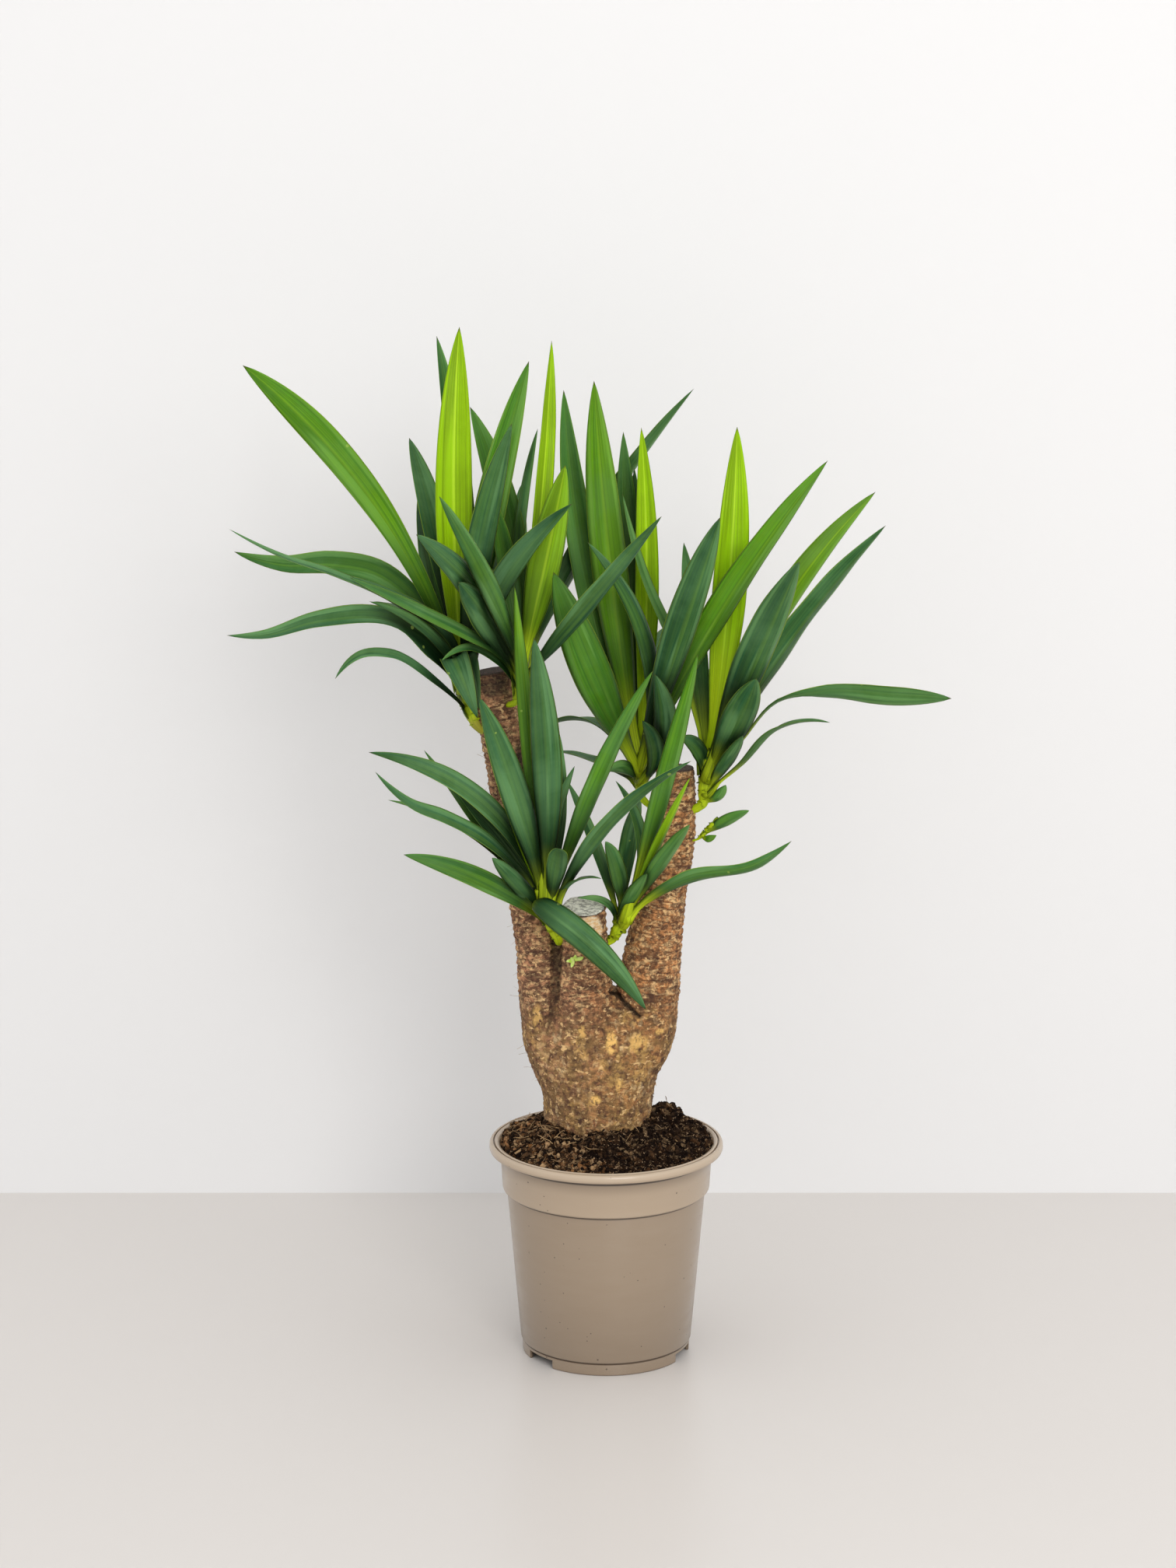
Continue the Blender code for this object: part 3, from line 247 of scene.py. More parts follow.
# Each head: the point its leaves are measured from, and where its stem starts in the trunk,
# leaves the bark and ends, in centimetres from the pot's origin. Each leaf: how young it is, from
# 0 dark to 1 bright, how far up the stem it grows, its width, how far its blade is turned from
# facing the front at its foot and at its tip, in degrees, and the points it passes, across, back
# and up, the last being its tip, with what differs from the rest in its width or twist. Reach: the
# share of a leaf's length that its yellow foot takes. Behind, for the leaves that grow straight
# away from the eye: azimuth, lean, length and width.
HEADS = {
    "head_a": {
        "root": (-11.4, 0.0, 57.4),
        "stem": ((-10.2, 0.9, 56.4), (-11.5, 0.2, 57.6), (-13.6, 0.5, 63.4)),
        "radius": 1.0,
        "woody": 0.5,
        "reach": 0.05,
        "leaves": (
            (0.62, 1.0, 3.0, 35, 25, ((-9.3, -3.0, 21.2), (-20.5, -7.0, 33.9)), {"widest": 0.70}),
            (0.15, 0.9, 2.8, 30, 20, ((-3.4, 5.0, 15.9), (-5.9, 12.0, 23.3))),
            (1.00, 1.0, 3.5, 0, 5, ((-2.0, -0.3, 21.8), (-1.5, 2.0, 35.4))),
            (0.30, 1.0, 2.4, 10, 20, ((-1.5, 4.0, 21.0), (-3.5, 8.0, 33.3))),
            (0.10, 0.8, 2.4, 30, 35, ((-4.2, 8.0, 14.0), (-4.6, 14.0, 20.2))),
            (0.10, 0.6, 1.2, 66, 80,
             ((-6.3, -1.5, 10.9), (-12.4, -3.0, 14.3), (-17.2, -4.0, 16.2), (-21.7, -5.0, 18.8))),
            (0.10, 0.6, 1.2, 40, 50, ((-4.0, -1.8, 10.2), (-7.5, -2.8, 12.5), (-11.0, -3.5, 14.2))),
            (0.20, 0.5, 1.1, 40, 50, ((-3.6, -2.6, 8.4), (-6.2, -4.0, 10.75), (-9.4, -5.5, 12.4))),
            (0.30, 0.7, 2.5, 34, 8,
             ((-4.6, 1.5, 9.9), (-8.7, 2.5, 13.3), (-12.8, 3.5, 13.9),
              (-16.9, 4.5, 13.6), (-21.25, 5.0, 14.6))),
            (0.12, 0.4, 2.7, 20, 84,
             ((-3.5, -2.0, 7.4), (-7.6, -4.0, 10.5), (-14.0, -6.0, 10.8),
              (-18.8, -7.2, 9.7), (-21.9, -8.0, 9.9)),
             {"twist": (0.20, 0.44), "widest": 0.34}),
            (0.10, 0.2, 1.15, 60, 76,
             ((-3.5, -3.0, 4.6), (-7.6, -6.0, 7.8), (-10.3, -8.0, 8.1), (-12.4, -10.0, 6.4))),
            (0.30, 0.6, 2.4, 40, 50, ((-4.9, 6.0, 8.2), (-9.1, 11.0, 8.8))),
            (0.10, 0.7, 2.7, 10, 10, ((-1.95, -3.5, 7.0), (0.1, -5.0, 1.8))),
            (0.06, 0.7, 2.3, 10, 10, ((-1.1, -2.4, 6.9), (0.3, -4.0, 2.3))),
            (0.50, 1.0, 3.1, 10, 15, ((1.6, 2.0, 21.2), (4.6, 4.0, 31.9))),
            (0.15, 1.0, 2.7, 0, 10, ((0.5, -4.0, 17.9), (3.1, -8.0, 28.9))),
            (0.08, 0.9, 2.7, 10, 20, ((2.9, -4.0, 14.8), (8.4, -7.0, 21.5))),
        ),
        "behind": ((84, 58, 24, 2.6), (106, 72, 22, 2.4)),
    },
    "head_b": {
        "root": (-7.6, -1.5, 59.7),
        "stem": ((-8.9, 0.3, 59.2), (-7.8, -1.4, 60.1), (-7.1, -2.0, 65.2)),
        "radius": 0.8,
        "reach": 0.12,
        "leaves": (
            (0.30, 0.9, 2.1, 35, 45, ((-3.2, -8.0, 13.5), (-7.0, -11.0, 20.9))),
            (0.08, 0.7, 2.6, 30, 35, ((-4.6, -8.0, 12.8), (-9.0, -13.0, 17.9))),
            (0.15, 0.6, 2.8, 20, 30, ((-2.9, -5.0, 8.7), (-5.3, -10.0, 13.0))),
            (1.00, 1.0, 1.9, 20, 30, ((2.0, 3.0, 17.8), (2.8, 6.0, 31.1))),
            (0.25, 0.9, 1.5, 40, 50, ((0.2, 6.0, 16.4), (1.6, 10.0, 22.4))),
            (0.82, 1.0, 3.2, 0, 10, ((2.2, -0.5, 12.6), (4.0, -2.0, 21.7))),
            (0.45, 1.0, 3.0, 10, 15, ((-1.4, 6.0, 16.4), (-4.3, 11.0, 24.1))),
            (0.40, 0.9, 2.0, 10, 20, ((-1.2, 1.0, 12.6), (-2.4, 1.0, 18.4))),
            (0.10, 0.8, 2.2, 10, 20, ((-0.3, 8.0, 11.1), (0.2, 14.0, 16.6))),
            (0.25, 0.7, 2.6, 20, 60, ((3.2, 5.5, 8.6), (9.0, 11.0, 17.6), (15.2, 13.0, 25.3))),
            (0.10, 0.5, 2.1, 15, 35, ((6.9, -7.0, 11.5), (12.4, -10.0, 18.9))),
            (0.30, 0.2, 1.2, 60, 45,
             ((-1.9, -2.5, 5.1), (-4.6, -4.5, 7.2), (-8.0, -6.0, 9.3), (-14.8, -7.5, 12.9))),
            (0.30, 0.1, 0.9, 60, 75, ((-1.9, -2.0, 4.2), (-4.6, -3.5, 5.8), (-6.8, -5.0, 4.9))),
        ),
        "behind": ((100, 58, 24, 2.6), (82, 74, 22, 2.4)),
    },
    "head_c": {
        "root": (-5.1, -2.0, 39.2),
        "stem": ((-4.2, 0.2, 37.8), (-4.3, -2.0, 38.9), (-6.5, -3.3, 44.6)),
        "radius": 1.1,
        "reach": 0.19,
        "leaves": (
            (0.10, 0.7, 2.0, 25, 35, ((-7.9, -2.0, 13.9), (-15.9, -3.0, 17.0))),
            (0.15, 0.6, 1.5, 45, 55,
             ((-5.8, -2.0, 9.1), (-9.3, -3.5, 11.3), (-12.2, -5.0, 12.8), (-15.3, -6.0, 15.9))),
            (0.30, 0.5, 1.3, 40, 60, ((-7.0, 1.5, 8.8), (-14.2, 3.0, 11.4))),
            (0.35, 0.3, 2.0, 20, 20, ((-7.2, -3.5, 6.2), (-12.8, -5.0, 8.2))),
            (0.30, 0.8, 1.5, 40, 60, ((-7.0, 1.0, 10.7), (-11.0, 4.0, 15.7))),
            (0.15, 0.6, 1.6, 30, 40, ((-4.6, -0.6, 8.8), (-7.9, -0.2, 12.5))),
            (0.15, 0.9, 2.8, 0, 10, ((-3.4, -3.5, 14.8), (-6.1, -6.0, 22.6))),
            (0.15, 1.0, 2.9, 0, 5, ((-0.2, -4.0, 16.8), (-1.3, -7.0, 28.2))),
            (0.65, 1.0, 1.6, 20, 20, ((-1.9, -3.0, 19.7), (-3.0, -5.0, 32.4))),
            (0.45, 0.8, 1.9, 10, 20, ((4.8, -3.0, 15.7), (9.2, -5.0, 24.8))),
            (0.12, 0.5, 2.0, 20, 30, ((5.8, -5.0, 11.5), (12.6, -8.0, 17.3))),
            (0.20, 0.3, 1.0, 30, 50, ((3.2, -3.0, 5.7), (4.7, -4.0, 5.8))),
            (0.10, 0.7, 2.6, 5, 10,
             ((-1.0, -3.4, 3.5), (0.7, -4.9, 2.6), (2.5, -5.5, 1.3),
              (6.1, -6.0, -2.2), (8.6, -6.0, -5.6)),
             {"widest": 0.40}),
            (0.90, 0.7, 0.9, 0, 20, ((-2.8, -1.5, 9.8), (-4.5, -2.0, 14.2))),
            (0.20, 0.8, 2.0, 0, 0, ((0.7, -4.0, 6.9), (0.9, -9.0, 9.6))),
            (0.15, 1.0, 1.2, 10, 20, ((1.2, -0.5, 12.6), (2.3, 1.0, 14.9))),
            (0.10, 1.0, 1.0, 20, 30, ((1.2, 1.0, 13.8), (0.9, 2.5, 17.7))),
            (0.10, 0.5, 1.8, 20, 30, ((-3.4, -2.5, 5.8), (-5.0, -4.0, 7.7))),
        ),
        "behind": (),
    },
    "head_d": {
        "root": (0.4, -0.8, 38.4),
        "stem": ((-0.9, -0.8, 37.6), (0.5, -0.8, 38.4), (2.8, -2.3, 42.6)),
        "radius": 0.95,
        "reach": 0.24,
        "leaves": (
            (0.12, 0.6, 1.3, 20, 30, ((-1.4, 1.5, 8.2), (-3.9, 3.0, 13.7))),
            (0.30, 0.8, 1.7, 10, 20, ((0.5, -2.0, 7.1), (-0.5, -4.0, 9.7))),
            (0.20, 0.9, 1.4, 20, 30, ((2.6, 0.0, 9.6), (0.4, 2.0, 13.9))),
            (0.85, 1.0, 1.1, 20, 30, ((4.9, -4.5, 11.2), (7.0, -6.0, 15.9))),
            (0.35, 1.0, 1.7, 10, 15, ((5.0, -5.0, 8.9), (7.0, -8.0, 12.1))),
            (0.30, 0.8, 2.0, 20, 25, ((6.5, -4.0, 6.2), (13.2, -7.2, 8.4), (16.0, -8.0, 10.6))),
            (0.25, 0.3, 0.8, 30, 50, ((-0.1, -0.5, 3.1), (-3.0, -1.0, 3.9))),
            (0.50, 1.0, 1.9, 0, 10, ((4.7, -4.0, 14.9), (7.7, -6.0, 27.1))),
            (0.35, 0.2, 1.6, 10, 10, ((1.9, -2.0, 4.3), (3.2, -4.0, 6.8))),
        ),
        "behind": ((80, 52, 15, 1.8),),
    },
    "head_e": {
        "root": (8.6, 0.0, 50.0),
        "stem": ((7.0, 0.5, 49.5), (8.5, 0.0, 50.6), (9.3, 0.0, 56.3)),
        "radius": 1.08,
        "reach": 0.30,
        "leaves": (
            (1.00, 1.0, 3.3, 0, 5, ((2.3, 1.0, 20.8), (2.9, 3.0, 33.8))),
            (0.70, 0.8, 2.8, 20, 20, ((6.5, 2.0, 17.4), (15.1, 5.0, 27.5))),
            (0.15, 0.8, 3.4, 0, 5, ((4.2, -5.0, 14.4), (8.4, -12.0, 24.9))),
            (0.20, 0.7, 3.0, 25, 40, ((7.9, -1.5, 16.3), (16.0, -3.0, 26.2))),
            (0.18, 0.8, 3.1, 0, 5, ((2.8, -3.8, 8.6), (4.6, -7.2, 13.3)), {"widest": 0.58}),
            (0.30, 0.4, 2.1, 78, 12,
             ((3.4, -0.5, 6.4), (6.5, -1.0, 10.0), (10.6, -1.5, 10.8),
              (16.8, -2.5, 10.6), (21.8, -3.0, 10.6)),
             {"twist": (0.42, 0.64), "widest": 0.78}),
            (0.20, 0.3, 1.6, 60, 70, ((3.1, -2.0, 4.3), (6.5, -4.5, 8.3), (11.1, -8.0, 9.5))),
            (0.25, 0.4, 1.6, 20, 30, ((-1.0, -1.0, 6.2), (-2.2, -2.0, 6.9))),
            (0.20, 0.3, 1.6, 20, 30, ((2.4, -3.0, 5.5), (3.4, -5.0, 7.7))),
            (0.40, 0.0, 1.1, 20, 20, ((1.2, -0.6, 1.3), (1.9, -1.0, 2.4))),
            (0.35, 0.9, 1.6, 50, 55, ((-2.6, 1.5, 14.2), (-5.3, 1.8, 20.6), (-7.2, 2.0, 28.0))),
            (0.20, 0.9, 2.2, 10, 20, ((-0.8, 4.0, 13.9), (-1.8, 8.0, 22.3))),
        ),
        "behind": ((66, 60, 25, 2.6), (88, 72, 22, 2.4)),
    },
    "head_f": {
        "root": (2.8, 3.0, 50.4),
        "stem": ((4.8, 1.8, 49.2), (3.1, 2.9, 50.6), (2.7, 3.0, 55.8)),
        "radius": 0.85,
        "reach": 0.15,
        "leaves": (
            (0.40, 1.0, 2.8, 10, 10, ((-4.5, 2.0, 19.7), (-6.6, 4.0, 36.2))),
            (0.66, 1.0, 3.5, 0, 5, ((-2.4, 0.0, 20.1), (-3.9, -1.0, 38.1))),
            (0.35, 1.0, 2.6, 10, 15, ((-0.8, 2.0, 19.0), (-1.3, 3.0, 32.6))),
            (0.20, 0.9, 2.4, 10, 20, ((-0.3, 2.8, 17.5), (-0.3, 4.5, 29.0))),
            (1.00, 1.0, 2.3, 0, 5, ((0.8, 1.0, 19.6), (0.3, 2.0, 33.2))),
            (0.48, 0.8, 3.8, 0, 5, ((-4.5, -5.0, 13.4), (-7.5, -8.0, 22.2))),
            (0.15, 0.5, 2.2, 50, 70, ((-4.8, 3.0, 6.5), (-8.3, 5.0, 5.3))),
            (0.20, 0.3, 1.6, 60, 70, ((-3.8, 4.0, 2.5), (-7.5, 8.0, 2.5))),
            (0.30, 0.4, 1.4, 20, 30, ((-1.7, -2.0, 3.2), (-2.9, -3.0, 3.0))),
            (0.15, 0.9, 3.2, 0, 10, ((3.2, -6.0, 14.7), (7.3, -9.5, 27.5)), {"widest": 0.62}),
            (0.62, 0.9, 2.9, 15, 20, ((7.9, -5.0, 19.1), (16.9, -4.0, 31.5))),
            (0.15, 0.7, 1.8, 20, 40, ((1.0, -2.0, 13.5), (-4.5, -5.0, 24.3))),
            (0.10, 0.5, 2.3, 10, 5, ((2.4, -4.6, 7.6), (1.5, -7.0, 12.7)), {"widest": 0.6}),
            (0.12, 0.3, 1.8, 15, 10, ((1.5, -3.6, 5.4), (0.4, -5.6, 8.2)), {"widest": 0.6}),
        ),
        "behind": ((80, 60, 22, 2.6), (104, 72, 20, 2.4)),
    },
    "shoot_g": {
        "root": (8.2, 0.0, 47.4),
        "stem": ((7.1, 0.5, 46.9), (8.2, 0.0, 47.4), (8.9, -0.3, 48.2)),
        "radius": 0.35,
        "reach": 0.25,
        "leaves": (
            (0.40, 0.6, 1.3, 10, 15, ((2.1, -1.0, 1.6), (4.4, -2.0, 2.9))),
            (0.60, 0.4, 0.7, 10, 10, ((0.9, -0.8, 0.1), (1.5, -1.2, 0.5))),
        ),
        "behind": (),
    },
}


# Mesh helpers


def linked(name, data):
    """A new object of that name in the scene, with the given data."""
    made = bpy.data.objects.new(name, data)
    bpy.context.scene.collection.objects.link(made)
    return made


def circle(count, start=0.0):
    """The cosines and sines of evenly spaced turns, from a share of one step on."""
    turns = [math.tau * (i + start) / count for i in range(count)]
    return [(math.cos(turn), math.sin(turn)) for turn in turns]


def lengths_along(path):
    """How far along the path each of its points lies."""
    steps = np.linalg.norm(np.diff(path[:, :3], axis=0), axis=1)
    return np.concatenate([[0.0], np.cumsum(steps)])


def shares_along(knots):
    """How far along the path each knot lies, from 0 to 1."""
    lengths = lengths_along(knots)
    return lengths / lengths[-1]


def curve_point(knots, at, slopes, t):
    """The point at t of the cubic curve through the knots, which lie at the given shares."""
    i = min(int(np.searchsorted(at, t, side="right")) - 1, len(at) - 2)
    span = at[i + 1] - at[i]
    u = (t - at[i]) / span
    return (
        (2 * u**3 - 3 * u**2 + 1) * knots[i]
        + (u**3 - 2 * u**2 + u) * span * slopes[i]
        + (3 * u**2 - 2 * u**3) * knots[i + 1]
        + (u**3 - u**2) * span * slopes[i + 1]
    )


def smooth_path(points, count, at=None):
    """Evenly counted points along one smooth curve through the given stations."""
    knots = np.array(points, dtype=float)
    at = shares_along(knots) if at is None else at
    slopes = np.gradient(knots, at, axis=0)
    return np.array([curve_point(knots, at, slopes, t) for t in np.linspace(0.0, 1.0, count)])


def smooth_step(low, high, value):
    share = np.clip((value - low) / (high - low), 0.0, 1.0)
    return share * share * (3.0 - 2.0 * share)


def object_from_bmesh(name, shape):
    bmesh.ops.recalc_face_normals(shape, faces=shape.faces[:])
    if shape.calc_volume(signed=True) < 0.0:
        bmesh.ops.reverse_faces(shape, faces=shape.faces[:])
    mesh = bpy.data.meshes.new(name)
    shape.to_mesh(mesh)
    shape.free()
    return linked(name, mesh)


def loft(name, rings):
    """A closed body through rings of the same number of points, its ends capped."""
    shape = bmesh.new()
    loops = [[shape.verts.new(point) for point in ring] for ring in rings]
    for lower, upper in zip(loops, loops[1:]):
        for i in range(len(lower)):
            j = (i + 1) % len(lower)
            shape.faces.new((lower[i], lower[j], upper[j], upper[i]))
    shape.faces.new(loops[0])
    shape.faces.new(loops[-1])
    return object_from_bmesh(name, shape)


def turned(name, profile, sides):
    """A round body: the profile's (radius, height) points turned about Z, its ends on the axis."""
    shape = bmesh.new()
    rings = []
    for radius, height in profile:
        turns = circle(sides if radius else 1)
        rings.append([shape.verts.new((radius * cos, radius * sin, height)) for cos, sin in turns])
    for lower, upper in zip(rings, rings[1:]):
        for i in range(sides):
            around = ((lower, i), (lower, i + 1), (upper, i + 1), (upper, i))
            shape.faces.new(list(dict.fromkeys(ring[k % len(ring)] for ring, k in around)))
    return object_from_bmesh(name, shape)


def tube_rings(stations, sides, top_tilt=0.0):
    """Rings square to the path of (x, y, z, radius) stations; the last may be cut at a slope."""
    centres = stations[:, :3]
    rings = []
    for i, ahead in enumerate(np.gradient(centres, axis=0)):
        ahead = Vector(ahead).normalized()
        across = AWAY.cross(ahead).normalized()
        back = ahead.cross(across)
        if i == len(centres) - 1 and top_tilt:
            level = Vector((0.0, math.sin(top_tilt), math.cos(top_tilt)))
            back = (back - level * back.dot(level)).normalized()
        centre = Vector(centres[i])
        radius = float(stations[i, 3])
        rings.append([centre + radius * (across * cos + back * sin) for cos, sin in circle(sides, 0.5)])
    return rings


def store(mesh, name, values):
    """Keeps one number for each of the mesh's points."""
    layer = mesh.attributes.get(name) or mesh.attributes.new(name, "FLOAT", "POINT")
    layer.data.foreach_set("value", np.asarray(values, dtype=np.float32))


def points_of(mesh):
    places = np.empty(len(mesh.vertices) * 3)
    mesh.vertices.foreach_get("co", places)
    return places.reshape(-1, 3)


def bake(target):
    """Turns the evaluated object into its own plain mesh and takes its modifiers off."""
    bpy.context.view_layer.update()
    graph = bpy.context.evaluated_depsgraph_get()
    mesh = bpy.data.meshes.new_from_object(target.evaluated_get(graph))
    old = target.data
    target.modifiers.clear()
    target.data = mesh
    bpy.data.meshes.remove(old)
    mesh.name = target.name
    return mesh


def fuse(target, pieces):
    """One Boolean union of the pieces with the target."""
    for piece in pieces:
        modifier = target.modifiers.new("Union", "BOOLEAN")
        modifier.operation = "UNION"
        modifier.solver = "MANIFOLD"
        modifier.object = piece
        bake(target)
        bpy.data.objects.remove(piece, do_unlink=True)


def finish_piece(piece, material=None, replaced=()):
    """Gives a piece its finish and the body it rides on."""
    if material:
        piece.data.materials.append(material)
    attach(piece, BODY)
    for node in replaced:
        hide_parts(node)


# Node trees


class Wire:
    """A node's output. Arithmetic with it adds math nodes to its tree."""

    def __init__(self, graph, socket):
        self.graph = graph
        self.socket = socket

    def __add__(self, other):
        return self.graph.math("ADD", self, other)

    def __sub__(self, other):
        return self.graph.math("SUBTRACT", self, other)

    def __rsub__(self, other):
        return self.graph.math("SUBTRACT", other, self)

    def __mul__(self, other):
        return self.graph.math("MULTIPLY", self, other)

    def __truediv__(self, other):
        return self.graph.math("DIVIDE", self, other)

    def __pow__(self, other):
        return self.graph.math("POWER", self, other)

    def __lt__(self, other):
        return self.graph.math("LESS_THAN", self, other)

    def __abs__(self):
        return self.graph.math("ABSOLUTE", self)

    def clamped(self):
        """The same value, kept from 0 to 1 by the math node that it comes from."""
        self.socket.node.use_clamp = True
        return self


class Graph:
    """A node tree in the making, with short ways to add the nodes that these trees use."""

    def __init__(self, tree):
        self.tree = tree

    def feed(self, socket, value):
        if isinstance(value, Wire):
            self.tree.links.new(value.socket, socket)
        else:
            socket.default_value = value

    def node(self, kind, inputs=None, **settings):
        """Adds one node, sets its properties, and fills or links its inputs."""
        node = self.tree.nodes.new(kind)
        for key, value in settings.items():
            setattr(node, key, value)
        for key, value in (inputs or {}).items():
            self.feed(node.inputs[key], value)
        return node

    def add(self, kind, inputs=None, output=0, **settings):
        """Adds one node and gives one of its outputs."""
        return Wire(self, self.node(kind, inputs, **settings).outputs[output])

    def math(self, operation, *values):
        return self.add("ShaderNodeMath", dict(enumerate(values)), operation=operation)

    def vector(self, operation, a, b):
        return self.add("ShaderNodeVectorMath", {0: a, 1: b}, operation=operation)

    def scaled(self, vector, amount):
        return self.add("ShaderNodeVectorMath", {0: vector, "Scale": amount}, operation="SCALE")

    def combine(self, x=0.0, y=0.0, z=0.0):
        return self.add("ShaderNodeCombineXYZ", {0: x, 1: y, 2: z})

    def split(self, value, kind="XYZ"):
        """The three parts of a vector, or of a colour where the kind is Color."""
        return [Wire(self, socket) for socket in self.node("ShaderNodeSeparate" + kind, {0: value}).outputs]

    def noise(self, place, scale, detail=2.0, output=0):
        return self.add("ShaderNodeTexNoise", {"Vector": place, "Scale": scale, "Detail": detail}, output)

    def ramp(self, value, low, high, start=0.0, end=1.0):
        """Maps low..high smoothly to start..end and stays there beyond them."""
        inputs = {"Value": value, 1: low, 2: high, 3: start, 4: end}
        return self.add("ShaderNodeMapRange", inputs, interpolation_type="SMOOTHSTEP")


class Finish(Graph):
    """A material in the making, from its Principled BSDF."""

    def __init__(self, name):
        self.material = bpy.data.materials.new(name)
        self.material.use_nodes = True
        super().__init__(self.material.node_tree)
        self.surface = self.tree.nodes["Principled BSDF"]
        self.output = self.tree.nodes["Material Output"]

    def attributes(self, *names):
        return [self.add("ShaderNodeAttribute", output="Fac", attribute_name=name) for name in names]

    def place(self):
        return self.add("ShaderNodeTexCoord", output="Object")

    def mottle(self, scale, low, high, stretch=1.0):
        inputs = {"Scale": scale, "Stretch": stretch, "Low": low, "High": high}
        return self.add("ShaderNodeGroup", inputs, node_tree=mask_group("Mottle"))

    def streaks(self, inputs):
        return self.add("ShaderNodeGroup", inputs, node_tree=mask_group("Streaks"))

    def specks(self, scale, share, size):
        inputs = {"Scale": scale, "Share": share, "Size": size}
        return self.add("ShaderNodeGroup", inputs, node_tree=mask_group("Specks"))

    def bump(self, height, strength, distance):
        return self.add("ShaderNodeBump", {"Height": height, "Strength": strength, "Distance": distance})

    def mix(self, share, under, over, blend="MIX"):
        under, over = (tone if isinstance(tone, Wire) else (*tone, 1.0) for tone in (under, over))
        inputs = {0: share, 6: under, 7: over}
        return self.add("ShaderNodeMix", inputs, output=2, data_type="RGBA", blend_type=blend)

    def paint(self, colour, *layers):
        """Lays colours over the first one, each given with the share that it covers."""
        for share, over in layers:
            colour = self.mix(share, colour, over)
        return colour

    def dress(self, inputs):
        """Feeds the surface's inputs and gives the material."""
        for key, value in inputs.items():
            self.feed(self.surface.inputs[key], value)
        return self.material

    def blend_surface(self, share, other):
        """Shows the other shader instead of the surface, by the given share."""
        both = self.node("ShaderNodeMixShader", {0: share, 1: Wire(self, self.surface.outputs[0]), 2: other})
        self.tree.links.new(both.outputs[0], self.output.inputs["Surface"])


SOCKET_TYPES = {float: "NodeSocketFloat", int: "NodeSocketInt"}


def new_group(name, kind, inputs, output, output_type):
    """A node group whose inputs are given by name with a default, or with a socket type."""
    tree = bpy.data.node_groups.new(name, kind)
    for label, value in inputs.items():
        socket = SOCKET_TYPES.get(type(value), value)
        made = tree.interface.new_socket(label, in_out="INPUT", socket_type=socket)
        if socket != value:
            made.default_value = value
    tree.interface.new_socket(output, in_out="OUTPUT", socket_type=output_type)
    graph = Graph(tree)
    given = tree.nodes.new("NodeGroupInput").outputs
    graph.given = {label: Wire(graph, given[label]) for label in inputs}
    graph.out = tree.nodes.new("NodeGroupOutput").inputs[output]
    return graph


def run_tree(target, tree, values):
    """Applies a Geometry Nodes tree with the given inputs and leaves a plain mesh."""
    modifier = target.modifiers.new(tree.name, "NODES")
    modifier.node_group = tree
    named = {item.name: item.identifier for item in tree.interface.items_tree if item.in_out == "INPUT"}
    for name, value in values.items():
        modifier[named[name]] = value
    return bake(target)


# Shader node groups


def new_mask(name, **inputs):
    return new_group(name, "ShaderNodeTree", inputs, "Mask", "NodeSocketFloat")


def build_streaks_group(name):
    """Fine lines along a blade or a fibre: a mask from the position across and along it."""
    g = new_mask(name, Across=0.0, Along=0.0, Seed=0.0, Fineness=60.0)
    across, along, seed, fineness = g.given.values()
    lines = g.noise(g.combine(across * fineness, along, seed), 1.0)
    g.feed(g.out, g.ramp(lines, 0.3, 0.7))
    return g.tree


def build_mottle_group(name):
    """Cloudy patches with ragged edges, for bark, peat and leaves."""
    g = new_mask(name, Scale=60.0, Stretch=1.0, Low=0.4, High=0.6)
    scale, stretch, low, high = g.given.values()
    place = g.vector("MULTIPLY", g.add("ShaderNodeTexCoord", output="Object"), g.combine(1.0, 1.0, stretch))
    noise = {"Vector": place, "Scale": scale, "Detail": 5.0, "Roughness": 0.62, "Distortion": 0.3}
    clouds = g.add("ShaderNodeTexNoise", noise)
    g.feed(g.out, g.add("ShaderNodeMapRange", {"Value": clouds, 1: low, 2: high}))
    return g.tree


def build_specks_group(name):
    """Small scattered spots: pale scale on leaves, dark dirt on plastic."""
    g = new_mask(name, Scale=180.0, Share=0.1, Size=0.2)
    scale, share, size = g.given.values()
    place = g.add("ShaderNodeTexCoord", output="Object")
    cells = g.node("ShaderNodeTexVoronoi", {"Vector": place, "Scale": scale})
    near = Wire(g, cells.outputs["Distance"]) < size
    kept = g.split(Wire(g, cells.outputs["Color"]), "Color")[0] < share
    g.feed(g.out, near * kept)
    return g.tree


MASK_BUILDERS = {"Streaks": build_streaks_group, "Mottle": build_mottle_group, "Specks": build_specks_group}


def mask_group(name):
    """A shader group, made the first time that it is asked for."""
    return bpy.data.node_groups.get(name) or MASK_BUILDERS[name](name)


# Materials


